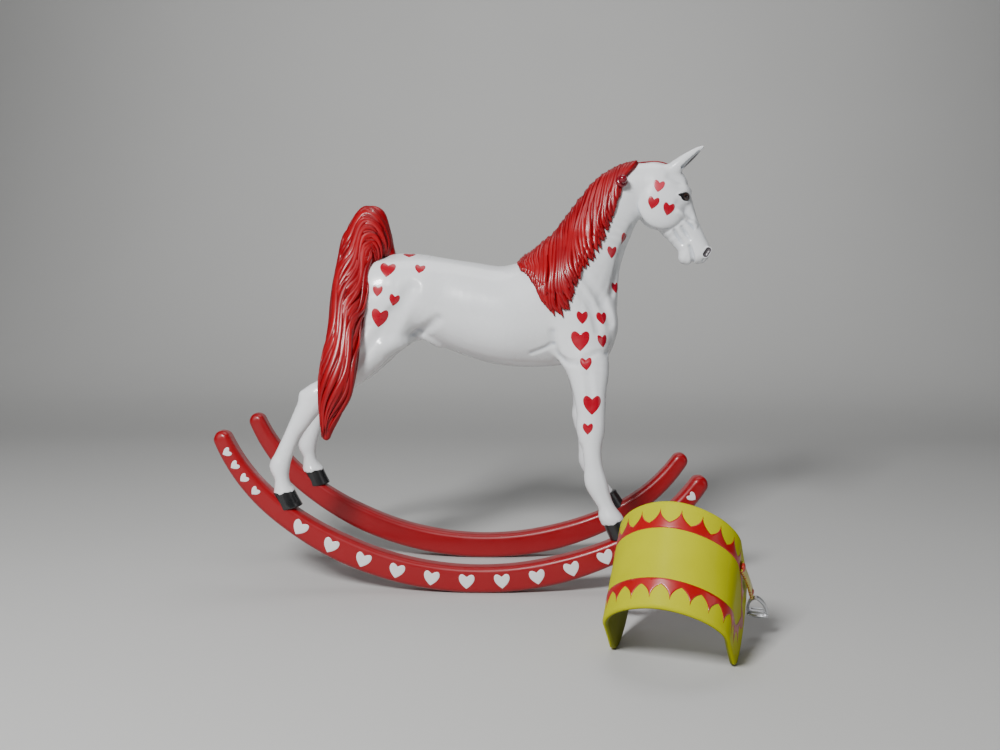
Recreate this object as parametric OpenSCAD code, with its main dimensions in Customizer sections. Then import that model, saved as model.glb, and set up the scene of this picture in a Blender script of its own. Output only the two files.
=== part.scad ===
// Model rocking horse with a lift-off saddle, shown with the saddle standing on
// the floor beside it. X points to the nose, Y to the horse's left, Z up. The
// origin is on the floor under the rockers, midway between them.

/* [Rockers] */
// Radius of the curve that rolls on the floor
rocker_r = 199; // [190:1:210]
// Depth of a rocker between its top and bottom edges
rocker_depth = 15.6; // [14:0.2:17]
// Thickness of a rocker
rocker_w = 12; // [10:0.5:14]
// Distance from the middle plane to the middle of a rocker
rocker_y = 38; // [36:0.5:40]
// Angle from a rocker's middle to the centre of its round tip
rocker_half_angle = 49.4; // [45:0.1:52]
// How far each rocker's tip curls in from the arc
tip_curl = 5.6; // [0:0.2:8]
// How far the nose leans down when the toy stands still
lean = 5.2; // [3:0.1:7]
// How deep the painted hearts lie in the rocker's face
heart_depth = 0.3; // [0.2:0.1:0.6]

/* [Horse] */
// Wall of the two hollow body halves
wall = 2.4; // [1.6:0.2:3.2]
// How far the mane stands off the neck
mane_depth = 2.6; // [2:0.2:3.4]
// Height of a hoof
hoof_h = 11.5; // [10:0.5:13]
// Radius of the steel pins that hold hooves, legs and rockers together
pin_r = 1.2; // [0.8:0.1:1.5]
// Length of such a pin
pin_len = 26; // [20:1:30]
// How deep such a pin stands in the rocker
pin_below = 8; // [6:0.5:9]

/* [Handles] */
// Radius of a handle's collar
collar_r = 3.6; // [3:0.1:4.5]
// Radius of the ball at a handle's end
ball_r = 2.7; // [2:0.1:3.2]
// Radius of a handle's shank in the neck
shank_r = 1.6; // [1.2:0.1:2]

/* [Saddle] */
// Length of the saddle along the horse's back
saddle_len = 51.8; // [48:0.2:62]
// Height of the arch above its feet
saddle_h = 51; // [46:0.2:60]
// How much higher the arch is at its front rim than at its rear rim
saddle_rise = 11.4; // [0:0.2:16]
// Outer half width of the arch
saddle_half_w = 30.6; // [28:0.2:36]
// Thickness of the saddle shell
saddle_t = 2.8; // [2:0.2:3.4]
// How far the round foot of each flap hangs below the rims
flap_drop = 15.4; // [4:0.2:20]
// Tilt of the saddle as it stands on the floor
saddle_tilt = 43; // [35:0.5:50]
// Turn of the saddle about the vertical
saddle_turn = 19.4; // [0:0.2:30]

/* [Hidden] */
$fn = 48;
right = -1;
left = 1;
blob_fn = 18;
slim_fn = 14;
inner_fn = 10;
far = 400;

// Rocker geometry, worked out before the lean
mid_r = rocker_r - rocker_depth / 2;
taper_from = 20;
tip_taper = 0.34;
curl_from = 33;
arc_steps = 56;
tip_steps = 6;

// Hoof seats cut in the rockers: middle of the sole, and how far the toe is tipped up
seat_front = [99.5, 42.2];
seat_hind = [-97.9, 40];
toe_up_front = 22;
toe_up_hind = 17;
notch_in = 13;
notch_out = 9;
notch_h = 40;
hoof_half_len = 7.5;
hoof_half_w = 6.8;
coronet_scale = 0.88;
coronet_shift = 2.4;
pin_back = 3;

// Hearts painted along a rocker, by angle from its middle
heart_step = 6.28;
small_hearts = [38.5, 41.5, 44.3, 47];
large_heart = 9.2;
small_heart = 5.3;
heart_sides = 24;

// Where the saddle stands, and its handles on the neck
saddle_at = [99.2, -143.8];
half_run = saddle_len / 2 * sin(saddle_tilt);
foot_sink = norm([half_run, flap_drop * cos(saddle_tilt)]) - half_run;
handle_at = [84.5, 8.5, 242.5];
handle_turn = [72, 12, 0];
shank_in = 4;
shank_len = 12;
collar_z = 3;
collar_t = 2.6;
ball_z = 8;
eye_at = [122.8, 9.6, 236];
eye_r = 2.9;

// Every blob is [x, y, z, rx, ry, rz], in place at rest
trunk = [
    [-69, 0, 181, 10, 14, 15], [-54, 0, 177, 12, 23, 24], [-38, 0, 176, 12, 26, 25],
    [-22, 0, 171, 12, 25, 27.5], [-5, 0, 166.5, 12, 26.5, 29.5], [15, 0, 163, 12, 28, 30.8],
    [38, 0, 166, 12, 26.5, 34.5], [56, 0, 168, 12, 24.5, 34.5], [71, 0, 158, 13, 20, 24]];
neck = [
    [58, 0, 186, 25, 20, 19], [65.8, 0, 205, 22.6, 16, 15], [76, 0, 223, 19.6, 12.6, 14],
    [83, 0, 234, 17, 10.5, 15], [92, 0, 241.5, 14, 10, 13.5], [104, 0, 243, 12.5, 10.5, 13.5]];
head = [
    [109, 0, 232, 13, 11.5, 13], [113, 0, 241, 12.5, 11, 12.5], [118, 0, 238, 9, 10.5, 9.5],
    [122.5, 0, 221, 9.6, 7.6, 9.8], [128.3, 0, 211, 8.2, 6.6, 8.4], [132.6, 0, 203, 8, 7, 7.6]];
jaw = [
    [112, 0, 226, 10, 9.5, 9.5], [122.5, 0, 207.5, 4.5, 5, 5], [127.5, 0, 199.3, 4.3, 4.8, 4.3]];
ear = [
    [117, 5.2, 251.5, 4.2, 3.4, 4], [123.5, 6, 257.6, 3.2, 2.6, 3.2],
    [133, 6.6, 264.2, 1.1, 0.8, 1.1]];
thigh = [[-60, 14, 172, 21, 13.5, 24], [-62, 19, 153, 17, 11, 14], [-77, 25, 134, 12, 9, 12]];
hind_leg = concat(thigh, [
    [-87, 29, 123, 9, 6.8, 8], [-98.5, 31.5, 113.5, 8, 6, 7], [-107.6, 33.5, 99.5, 5.4, 4.9, 6],
    [-111.4, 35, 92.5, 4.6, 4.3, 5], [-116.2, 36.5, 81, 5.2, 4.6, 5], [-118.4, 37.3, 75, 6, 5.3, 4.6],
    [-117.2, 37.8, 68, 4.3, 4.6, 3.4], [-116, 38, 62, 6.2, 5.8, 2.6], [-113.6, 38, 56, 7, 6.4, 3]]);
front_leg = [
    [58, 15, 155, 17, 11, 20], [64.5, 21.5, 134, 13.2, 9.5, 12], [66, 26, 118, 9.8, 8, 8],
    [66.8, 28.5, 104, 8.4, 7.2, 7], [67, 30, 96, 7.8, 6.8, 6], [67.2, 32, 85, 5.6, 5.4, 6],
    [68, 33.5, 75, 5.5, 5, 5], [69.6, 35, 65.5, 6.7, 5.7, 5], [73, 36.3, 57, 5.4, 5.2, 4],
    [75.8, 37.3, 51.5, 5, 5, 3.2], [79, 38, 44, 7, 6.4, 3.6]];
shoulder = [[54, 13, 178, 13, 9, 20], [60, 16, 152, 16, 9.5, 14], [71, 12, 158, 11, 9, 13]];
tail_blobs = [
    [-60, 0, 201, 8, 8, 7], [-63.5, 0, 213, 9, 7.5, 8], [-67, 0, 222, 9.6, 7, 9.5],
    [-71, -4, 211, 13.4, 9, 8], [-73.4, -12, 194, 12.8, 9.5, 8], [-77, -22, 176, 11.2, 9, 8],
    [-79, -31, 158, 9.4, 7.5, 8], [-80.5, -38, 141, 10.2, 6.5, 8], [-82.7, -43.5, 125, 10.2, 6, 8],
    [-85.2, -45, 110, 7.4, 5.5, 7], [-88.6, -45, 96, 3.8, 4, 5]];
forelock_blobs = [[93, 0, 254.5, 3, 2, 4], [108, 0, 254.6, 3, 2, 3.6], [117, 0, 252.4, 3, 2.2, 3.6],
    [122, 0, 247, 2.6, 1.8, 3]];
mane_outline = [
    [20, 191], [28, 188], [33.2, 181], [37, 172], [44.4, 163.6], [50.6, 163], [55, 170], [57.2, 181],
    [63.3, 192.5], [70, 200.4], [73.6, 206.5], [78.4, 218.7], [81.9, 230.7], [83, 236.8], [90.2, 247],
    [95.5, 257.8], [90, 264], [60, 262], [16, 204]];

// Saddle profile shape: 0 is a foot, 1 the top of the arch
profile_steps = 13;
length_steps = 10;
wide_share = 0.5;
foot_tuck = -0.6;
arch_power = 1.83;
flank_share = 0.45;

// Straps and stirrups, in the saddle's own frame: X across, Y forward, Z up
saddle_right = 1;
saddle_left = -1;
strap_u = 41;
strap_top = [31, 20.5];
strap_low = [34.2, -6.5];
strap_w = 6;
strap_t = 2.4;
iron_x = 36;
iron_w = 11;
iron_h = 17;
iron_t = 1.6;
iron_waist = 0.53;
iron_slim = 0.6;
iron_depth = 2.4;
tread_depth = 6;

module blob(b, grow = 0, fn = blob_fn)
    translate([b[0], b[1], b[2]])
        scale([b[3] + grow, b[4] + grow, b[5] + grow])
            sphere(r = 1, $fn = fn);

module chain(blobs, side = 1, grow = 0, fn = blob_fn)
    for (i = [0 : len(blobs) - 2])
        hull() {
            blob(on_side(blobs[i], side), grow, fn);
            blob(on_side(blobs[i + 1], side), grow, fn);
        }

function on_side(b, side) = [b[0], b[1] * side, b[2], b[3], b[4], b[5]];

// Leans what is drawn upright on the rockers, by rolling it about their centre
module leaned()
    translate([0, 0, rocker_r]) rotate([0, lean, 0]) translate([0, 0, -rocker_r]) children();

// A hoof's seat on the upright rocker: sole in X-Y, toe tipped up
module seat(end)
    translate(end > 0 ? [seat_front[0], 0, seat_front[1]] : [seat_hind[0], 0, seat_hind[1]])
        rotate([0, end > 0 ? -toe_up_front : -toe_up_hind, 0]) children();

// The whole trunk, neck and head without legs, grown or shrunk all round
module horse_form(grow = 0, fn = blob_fn) {
    chain(trunk, 1, grow, fn);
    chain(neck, 1, grow, fn);
    chain(head, 1, grow, fn);
    chain(jaw, 1, grow, fn);
    for (side = [right, left]) chain(shoulder, side, grow, fn);
}

module half_space(side)
    translate([-far / 2, side > 0 ? 0 : -far, 0]) cube([far, far, far]);

module horse_half(side)
    color("white") union() {
        difference() {
            intersection() {
                union() {
                    horse_form();
                    chain(ear, side, 0, slim_fn);
                }
                half_space(side);
            }
            horse_form(-wall, inner_fn);
            handle_shank(side);
            eye(side, slim_fn);
        }
    }

module body_right() horse_half(right);
module body_left() horse_half(left);

module pin() translate([-pin_back, 0, -pin_below]) cylinder(r = pin_r, h = pin_len);

module hoof_bore(end) leaned() seat(end) pin();

module leg(blobs, side, end)
    color("white") union() {
        difference() {
            chain(blobs, side, 0, slim_fn);
            horse_form();
            leaned() seat(end) translate([-far / 2, -far / 2, -far + hoof_h])
                cube([far, far, far]);
            translate([0, side * rocker_y, 0]) hoof_bore(end);
        }
    }

module leg_front_right() leg(front_leg, right, 1);
module leg_front_left() leg(front_leg, left, 1);
module leg_hind_right() leg(hind_leg, right, -1);
module leg_hind_left() leg(hind_leg, left, -1);

// A hoof stands on its seat, its wall leaning back to the coronet
module hoof(side, end)
    color("black") difference() {
        translate([0, side * rocker_y, 0]) leaned() seat(end) hull() {
            scale([hoof_half_len, hoof_half_w, 1]) cylinder(r = 1, h = 1, $fn = 32);
            translate([-coronet_shift, 0, hoof_h - 1])
                scale([hoof_half_len * coronet_scale, hoof_half_w * coronet_scale, 1])
                    cylinder(r = 1, h = 1, $fn = 32);
        }
        translate([0, side * rocker_y, 0]) hoof_bore(end);
    }

module hoof_front_right() hoof(right, 1);
module hoof_front_left() hoof(left, 1);
module hoof_hind_right() hoof(right, -1);
module hoof_hind_left() hoof(left, -1);

module hoof_pins()
    color("silver") for (side = [right, left], end = [-1, 1])
        translate([0, side * rocker_y, 0]) hoof_bore(end);

module mane()
    color("red") union() {
        difference() {
            intersection() {
                horse_form(mane_depth);
                translate([0, mane_depth + 1.5, 0]) rotate([90, 0, 0])
                    linear_extrude(height = 60) polygon(mane_outline);
            }
            horse_form();
            handle_shank(right, collar_r + 0.4);
        }
    }

module mane_area()
    translate([0, far / 2, 0]) rotate([90, 0, 0]) linear_extrude(height = far) polygon(mane_outline);

module forelock()
    color("red") union() {
        difference() {
            chain(forelock_blobs, 1, 0, slim_fn);
            horse_form();
            mane_area();
            for (side = [right, left]) chain(ear, side, 0, slim_fn);
        }
    }

module tail()
    color("red") union() {
        difference() {
            chain(tail_blobs, 1, 0, slim_fn);
            horse_form();
            chain(hind_leg, right, 0, slim_fn);
            chain(hind_leg, left, 0, slim_fn);
        }
    }

// A round bead, half sunk in a socket of the same size
module eye(side, fn = 48)
    color("black") translate([eye_at[0], side * eye_at[1], eye_at[2]]) sphere(r = eye_r, $fn = fn);

module eye_right() eye(right);
module eye_left() eye(left);

// A handle's axis leaves the neck sideways, a little up and forward
module on_handle(side)
    translate([handle_at[0], side * handle_at[1], handle_at[2]])
        rotate([-side * handle_turn[0], handle_turn[1], 0]) children();

module handle_shank(side, r = shank_r)
    on_handle(side) translate([0, 0, -shank_in]) cylinder(r = r, h = shank_len);

module handle(side)
    color("darkred") on_handle(side) {
        translate([0, 0, -shank_in]) cylinder(r = shank_r, h = shank_in + ball_z - ball_r / 2);
        translate([0, 0, collar_z]) cylinder(r = collar_r, h = collar_t);
        translate([0, 0, ball_z]) sphere(r = ball_r);
    }

module handle_right() handle(right);
module handle_left() handle(left);

// One rocker's side view about the roll centre: the rolling edge is a true arc as
// far as taper_from degrees each way, then the depth narrows to a round tip; past
// curl_from the tip curls in
function past(a, from) = max(abs(a) - from, 0) / (rocker_half_angle - from);
function depth_at(a) = rocker_depth * (1 - tip_taper * past(a, taper_from));
function rail_r(a) = mid_r - tip_curl * pow(past(a, curl_from), 2);
function rail_point(a) = rail_r(a) * [sin(a), -cos(a)];
function curl_slope(a) = 2 * tip_curl * past(a, curl_from) / ((rocker_half_angle - curl_from) * PI / 180);
function heading(a) = a + sign(a) * atan(curl_slope(a) / rail_r(a));
function arc_point(a, edge) =
    rail_point(a) + edge * depth_at(a) / 2 * [sin(heading(a)), -cos(heading(a))];
function tip_point(s, turn) =
    let (a = s * rocker_half_angle, t = heading(a) - s * turn, r = depth_at(a) / 2)
    rail_point(a) + s * r * [cos(t), sin(t)];
rocker_points = concat(
    [for (i = [0 : arc_steps]) arc_point(rocker_half_angle * (2 * i / arc_steps - 1), 1)],
    [for (i = [1 : tip_steps - 1]) tip_point(1, 90 - 180 * i / tip_steps)],
    [for (i = [arc_steps : -1 : 0]) arc_point(rocker_half_angle * (2 * i / arc_steps - 1), -1)],
    [for (i = [1 : tip_steps - 1]) tip_point(-1, -90 + 180 * i / tip_steps)]);

module rocker_outline() polygon(rocker_points);

module rocker(side)
    color("red") leaned() difference() {
        translate([0, side * rocker_y + rocker_w / 2, rocker_r]) rotate([90, 0, 0])
            linear_extrude(height = rocker_w) rocker_outline();
        for (end = [-1, 1]) translate([0, side * rocker_y, 0]) seat(end) {
            translate([end > 0 ? -notch_in : -notch_out, -rocker_w, 0])
                cube([notch_in + notch_out, 2 * rocker_w, notch_h]);
            pin();
        }
        translate([0, side * (rocker_y + rocker_w / 2), rocker_r]) heart_row();
    }

module rocker_right() rocker(right);
module rocker_left() rocker(left);

// A plump heart lying in the X-Y plane, point down
function heart_point(t) =
    [16 * sign(sin(t)) * pow(abs(sin(t)), 1.8),
        14.2 * cos(t) - 4.9 * cos(2 * t) - 1.9 * cos(3 * t) - 0.7 * cos(4 * t) + 1.5] / 32;

module heart(w)
    polygon([for (i = [0 : heart_sides - 1]) w * heart_point(360 * i / heart_sides)]);

module heart_at(angle, w)
    translate([rail_point(angle)[0], 0, rail_point(angle)[1]]) rotate([90, -heading(angle), 0])
        linear_extrude(height = 2 * heart_depth, center = true) heart(w);

module heart_row() {
    for (k = [-4.5 : 4.5]) heart_at(k * heart_step, large_heart);
    for (a = small_hearts, s = [-1, 1]) heart_at(s * a, small_heart);
}

module hearts(side)
    color("white") leaned() intersection() {
        translate([0, side * (rocker_y + rocker_w / 2), rocker_r]) heart_row();
        translate([-far / 2, side * rocker_y - rocker_w / 2, 0])
            cube([far, rocker_w, far]);
    }

module hearts_right() hearts(right);
module hearts_left() hearts(left);

// Saddle: s runs from foot to foot over the arch, u along the horse's back
function waist(u) = 4 * u * (1 - u);
function foot_drop(u) = flap_drop * sqrt(waist(u));
function row_u(j) = (1 - cos(180 * j / length_steps)) / 2;
function side_x(t) = saddle_half_w - foot_tuck * pow(1 - min(t / wide_share, 1), 2);
function arch_h(u) = saddle_h + saddle_rise * (u - 0.5);
function flank_point(t, u) =
    [side_x(t), arch_h(u) * flank_share * t / wide_share - foot_drop(u) * (1 - t / wide_share)];
function crown_point(turn, u) =
    [saddle_half_w * pow(cos(turn), 2 / arch_power),
        arch_h(u) * (flank_share + (1 - flank_share) * pow(sin(turn), 2 / arch_power))];
function half_arch(t, u) =
    t < wide_share ? flank_point(t, u) : crown_point(90 * (t - wide_share) / (1 - wide_share), u);
function arch_point(s, u) =
    let (p = half_arch(1 - abs(2 * s - 1), u)) [s < 0.5 ? -p[0] : p[0], p[1]];
function arch_normal(s, u) =
    let (d = arch_point(min(s + 0.02, 1), u) - arch_point(max(s - 0.02, 0), u))
    [-d[1], d[0]] / norm(d);
function saddle_point(s, u, inset) =
    let (p = arch_point(s, u) - inset * arch_normal(s, u)) [p[0], u * saddle_len, p[1]];

cols = 2 * profile_steps + 1;
rows = length_steps + 1;
saddle_points = [for (inset = [0, saddle_t], j = [0 : rows - 1], i = [0 : cols - 1])
    saddle_point(i / (cols - 1), row_u(j), inset)];
function at(k, j, i) = k * rows * cols + j * cols + i;
saddle_faces = concat(
    [for (j = [0 : rows - 2], i = [0 : cols - 2]) [at(0, j, i), at(0, j + 1, i), at(0, j + 1, i + 1)]],
    [for (j = [0 : rows - 2], i = [0 : cols - 2]) [at(0, j, i), at(0, j + 1, i + 1), at(0, j, i + 1)]],
    [for (j = [0 : rows - 2], i = [0 : cols - 2]) [at(1, j, i), at(1, j + 1, i + 1), at(1, j + 1, i)]],
    [for (j = [0 : rows - 2], i = [0 : cols - 2]) [at(1, j, i), at(1, j, i + 1), at(1, j + 1, i + 1)]],
    [for (i = [0 : cols - 2]) [at(0, 0, i), at(0, 0, i + 1), at(1, 0, i + 1), at(1, 0, i)]],
    [for (i = [0 : cols - 2])
        [at(0, rows - 1, i + 1), at(0, rows - 1, i), at(1, rows - 1, i), at(1, rows - 1, i + 1)]],
    [for (j = [0 : rows - 2]) [at(0, j + 1, 0), at(0, j, 0), at(1, j, 0), at(1, j + 1, 0)]],
    [for (j = [0 : rows - 2])
        [at(0, j, cols - 1), at(0, j + 1, cols - 1), at(1, j + 1, cols - 1), at(1, j, cols - 1)]]);

module saddle_form() polyhedron(points = saddle_points, faces = saddle_faces, convexity = 6);

// Stands the saddle on the round feet of its flaps beside the rocker
module saddle_placed()
    translate([saddle_at[0], saddle_at[1], foot_sink])
        rotate([0, 0, -saddle_turn]) rotate([saddle_tilt, 0, 0]) children();

module saddle_shell()
    color("yellow") saddle_placed() saddle_form();

// A stiff strap lies on the flap and reaches below it
module strap(side)
    color("gold") saddle_placed() difference() {
        hull() {
            translate([side * strap_top[0], strap_u, strap_top[1]]) rotate([0, 90, 0])
                cylinder(r = strap_w / 2, h = strap_t, center = true);
            translate([side * strap_low[0], strap_u, strap_low[1]])
                cube([strap_t, strap_w * 0.8, strap_t], center = true);
        }
        saddle_form();
        translate([0, saddle_len / 2, 0]) cube([2 * (saddle_half_w - saddle_t), far, far], center = true);
    }

module strap_right() strap(saddle_right);
module strap_left() strap(saddle_left);

module iron_outline() {
    difference() {
        hull() {
            translate([0, iron_h - iron_t]) circle(r = iron_t);
            translate([-iron_w / 2, 0]) square([iron_w, iron_t]);
            translate([0, iron_h * iron_waist]) circle(r = iron_w / 2 - iron_slim);
        }
        hull() {
            translate([-iron_w / 2 + iron_t, iron_t]) square([iron_w - 2 * iron_t, 1]);
            translate([0, iron_h * iron_waist]) circle(r = iron_w / 2 - iron_slim - iron_t);
        }
    }
}

module stirrup(side)
    color("silver") saddle_placed()
        translate([side * iron_x, strap_u, strap_low[1] - strap_t / 2 - iron_h]) {
            rotate([90, 0, 0])
                linear_extrude(height = iron_depth, center = true) iron_outline();
            translate([0, 0, iron_t / 2]) cube([iron_w, tread_depth, iron_t], center = true);
        }

module stirrup_right() stirrup(saddle_right);
module stirrup_left() stirrup(saddle_left);

body_right();
body_left();
leg_front_right();
leg_front_left();
leg_hind_right();
leg_hind_left();
hoof_front_right();
hoof_front_left();
hoof_hind_right();
hoof_hind_left();
hoof_pins();
mane();
forelock();
tail();
eye_right();
eye_left();
handle_right();
handle_left();
rocker_right();
rocker_left();
hearts_right();
hearts_left();
saddle_shell();
strap_right();
strap_left();
stirrup_right();
stirrup_left();
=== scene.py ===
"""Looks of the model rocking horse: a painted horse on two rockers, and its loose saddle.

Shapes are worked out in millimetres in the CAD frame (X to the nose, Y to the
horse's left, Z up) and turned into metres when a piece is made.
"""

import math

import bmesh
import bpy
import numpy as np
import openvdb as vdb
from mathutils import Matrix, Vector
from mathutils.bvhtree import BVHTree


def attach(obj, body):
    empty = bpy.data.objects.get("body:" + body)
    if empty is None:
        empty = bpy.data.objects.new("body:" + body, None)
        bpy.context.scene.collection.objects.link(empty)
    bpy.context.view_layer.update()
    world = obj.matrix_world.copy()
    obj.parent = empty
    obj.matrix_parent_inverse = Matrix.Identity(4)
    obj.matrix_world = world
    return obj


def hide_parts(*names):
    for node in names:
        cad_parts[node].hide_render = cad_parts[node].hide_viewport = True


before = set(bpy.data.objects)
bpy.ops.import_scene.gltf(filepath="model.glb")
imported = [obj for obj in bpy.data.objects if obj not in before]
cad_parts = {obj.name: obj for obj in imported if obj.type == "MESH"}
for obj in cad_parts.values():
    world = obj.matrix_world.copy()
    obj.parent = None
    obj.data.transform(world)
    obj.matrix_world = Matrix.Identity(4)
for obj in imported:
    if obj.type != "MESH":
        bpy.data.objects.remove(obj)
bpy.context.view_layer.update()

MM = 0.001
RIGHT, LEFT = -1, 1
SIDES = ((RIGHT, "right"), (LEFT, "left"))
ENDS = ((1, "front"), (-1, "hind"))
FAR = 30.0
HORSE, SADDLE = "horse", "saddle"
PAINTS = ("black", "grey", "pink")

# Voxel sizes in mm: draft is only used to find where the skin lies
DRAFT_VOXEL = 1.2
SKIN_VOXEL = 0.8
LEG_VOXEL = 0.7
HEAD_VOXEL = 0.42
HAIR_VOXEL = 0.8

# Rockers, as in the CAD part
ROCKER_R = 199.0
ROCKER_DEPTH = 15.6
ROCKER_W = 12.0
ROCKER_Y = 38.0
HALF_ANGLE = 49.4
TAPER_FROM = 20.0
TIP_TAPER = 0.34
CURL_FROM = 33.0
CURL = 5.6
MID_R = ROCKER_R - ROCKER_DEPTH / 2
LEAN = math.radians(5.2)
HOOF_X = 98.5
SEAT_Z = 38.5
HEART_STEP = 6.28
SMALL_HEARTS = (38.5, 41.5, 44.3, 47.0)
LARGE_HEART, SMALL_HEART = 9.2, 5.3
EDGE_ROUND = 3.4

# Every blob is (x, y, z, rx, ry, rz); a chain of blobs is lofted and rounded
TRUNK = [
    (-69, 0, 181, 10, 14, 15), (-54, 0, 177, 12, 23, 24), (-38, 0, 176, 12, 26, 25),
    (-22, 0, 171, 12, 25, 27.5), (-5, 0, 166.5, 12, 26.5, 29.5), (15, 0, 163, 12, 28, 30.8),
    (38, 0, 166, 12, 26.5, 34.5), (56, 0, 168, 12, 24.5, 34.5), (71, 0, 158, 13, 20, 24)]
NECK = [
    (58, 0, 186, 25, 20, 19), (65.8, 0, 205, 22.6, 16, 15), (76, 0, 223, 19.6, 12.6, 14),
    (83, 0, 234, 17, 10.5, 15), (92, 0, 241.5, 14, 10, 13.5), (104, 0, 243, 12.5, 10.5, 13.5)]
HEAD = [
    (109, 0, 232, 13, 11, 13), (113, 0, 241, 12.5, 10.6, 12.5), (118, 0, 238, 9, 10, 9.5),
    (122.5, 0, 221, 9.4, 7.4, 9.8), (128.3, 0, 211, 8, 6.4, 8.4), (132.8, 0, 203.3, 7.6, 6.6, 7.2)]
JAW = [(112, 0, 226, 10, 9, 9.5), (121.5, 0, 209, 4.8, 5, 5), (126, 0, 202, 4.2, 4.6, 4.2)]
CHIN = [(125, 0, 199.4, 4.2, 4.9, 4.9), (126.2, 0, 198.6, 3.9, 4.7, 4.4)]
LIP = [(132.6, 0, 200.2, 4.6, 5.8, 4.9), (134.6, 0, 200.4, 4.4, 5.6, 5)]
EAR = [
    (116.4, 5.2, 251.6, 4.6, 3.6, 4.2), (120.6, 5.8, 255.3, 3.9, 3.2, 3.6),
    (126, 6.2, 259.2, 3, 2.3, 3), (130.4, 6.5, 262.6, 1.9, 1.4, 1.9), (133.3, 6.6, 264.6, 0.9, 0.7, 0.9)]
EAR_BOWL = [
    (121.5, 7.2, 252.8, 1.4, 1.5, 1.2), (126.6, 7.3, 257, 1.7, 1.5, 1.6), (131.4, 7.2, 261.8, 0.8, 0.7, 0.8)]
THIGH = [(-60, 14, 172, 21, 13.5, 24), (-62, 19, 153, 17, 11, 14), (-77, 25, 134, 12, 9, 12)]
HIND_LEG = THIGH + [
    (-87, 29, 123, 9, 6.8, 8), (-98.5, 31.5, 113.5, 8, 6, 7), (-107.6, 33.5, 99.5, 5.4, 4.9, 6),
    (-111.4, 35, 92.5, 4.6, 4.3, 5), (-116.2, 36.5, 81, 5.2, 4.6, 5), (-118.4, 37.3, 75, 6, 5.3, 4.6),
    (-117.2, 37.8, 68, 4.3, 4.6, 3.4), (-116.4, 38, 63, 5.2, 5.4, 2.6), (-114.6, 38, 58.6, 7.4, 6.8, 1.6),
    (-113.4, 38, 55, 7, 6.4, 2), (-112.8, 38, 51, 6.8, 6.4, 2)]
FRONT_LEG = [
    (58, 15, 155, 17, 11, 20), (64.5, 21.5, 134, 13.2, 9.5, 12), (66, 26, 118, 9.8, 8, 8),
    (66.8, 28.5, 104, 8.4, 7.2, 7), (67, 30, 96, 7.8, 6.8, 6), (67.2, 32, 85, 5.6, 5.4, 6),
    (68, 33.5, 75, 5.5, 5, 5), (69.6, 35, 65.5, 6.7, 5.7, 5), (73, 36.3, 57, 5.4, 5.2, 4),
    (75.8, 37.3, 51.5, 5, 5, 3.2), (78.2, 38, 46, 7.2, 6.6, 1.8), (79.4, 38, 42, 6.8, 6.2, 2)]
# The point of the hock and the back of the knee
HOCK = [(-99, 31.5, 118.5, 3.4, 2.6, 3.4), (-104.4, 32.2, 117, 2.2, 2, 2.4)]
KNEE = [(61.6, 29.6, 98, 2.4, 3, 4), (62.6, 30.4, 92, 2, 2.6, 3)]
SHOULDER = [(54, 13, 178, 13, 9, 20), (60, 16, 152, 16, 9.5, 14), (71, 12, 158, 11, 9, 13)]
TAIL = [
    (-60, 0, 201, 8, 8, 7), (-63.5, 0, 213, 9, 7.5, 8), (-67, 0, 222, 9.6, 7, 9.5),
    (-71, -4, 211, 13.4, 9, 8), (-73.4, -12, 194, 12.8, 9.5, 8), (-77, -22, 176, 11.2, 9, 8),
    (-79, -31, 158, 9.4, 7.5, 8), (-80.5, -38, 141, 10.2, 6.5, 8), (-82.7, -43.5, 125, 10.2, 6, 8),
    (-85.2, -45, 110, 7.4, 5.5, 7), (-88.6, -45, 96, 3.8, 4, 5)]

# Lines drawn on the horse's side: (x, z) points, radius, how deep or high, softness
BODY_GROOVES = [
    ([(62, 189), (70, 178.5), (76, 168.5), (79, 160)], 2.4, 0.8, 3.5),
    ([(56.5, 183), (64, 174), (68.5, 165.5), (71, 156)], 2.2, 0.7, 3),
    ([(43.6, 154), (44.2, 146), (46.8, 140), (51.5, 136.6), (57, 136.2)], 1.9, 1.1, 2.6),
    ([(31, 141), (38, 143.8), (44, 147)], 1.2, 0.7, 1.6),
    ([(63, 139.3), (71, 143), (77, 141.5)], 1.5, 0.7, 2),
    ([(93, 216), (87, 203), (83.5, 190), (81, 178)], 2.6, 0.6, 3.5),
    ([(-37, 153), (-31, 156.5), (-25, 161.5)], 2.4, 0.9, 3.5),
    ([(-40, 181), (-46, 170), (-50, 160), (-54, 151)], 2.8, 0.8, 5),
    ([(-52, 166), (-58, 155), (-66, 144), (-77, 132)], 2.6, 0.7, 4),
    ([(64, 130), (65.5, 121), (66.3, 112)], 2, 0.4, 3)]
BODY_RIDGES = [
    ([(-46, 147.4), (-39, 151.2), (-33, 150.8), (-26, 146.4)], 2.4, 0.7, 4),
    ([(-56, 146), (-50, 147.5)], 4.6, 0.8, 4)]
HEAD_GROOVES = [
    ([(124.6, 220.2), (127, 218.3), (129, 216.3)], 0.9, 1.1, 0.8),
    ([(117.4, 214.6), (119.8, 210.8), (122.2, 207.2)], 1.3, 1.6, 1.0),
    ([(122, 216.8), (124.4, 213.2), (126.6, 210.2)], 1.3, 1.5, 1.0),
    ([(126.7, 205.4), (128.2, 202), (129.2, 198.4), (129.9, 194.2)], 1.3, 1.7, 0.8),
    ([(119.5, 230.6), (123.5, 228), (127.6, 223.6)], 2.4, 1.3, 2.6),
    ([(115.5, 247), (120, 245)], 3, 0.7, 4),
    ([(136, 199), (135.2, 196.4)], 0.7, 0.5, 0.6)]
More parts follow.
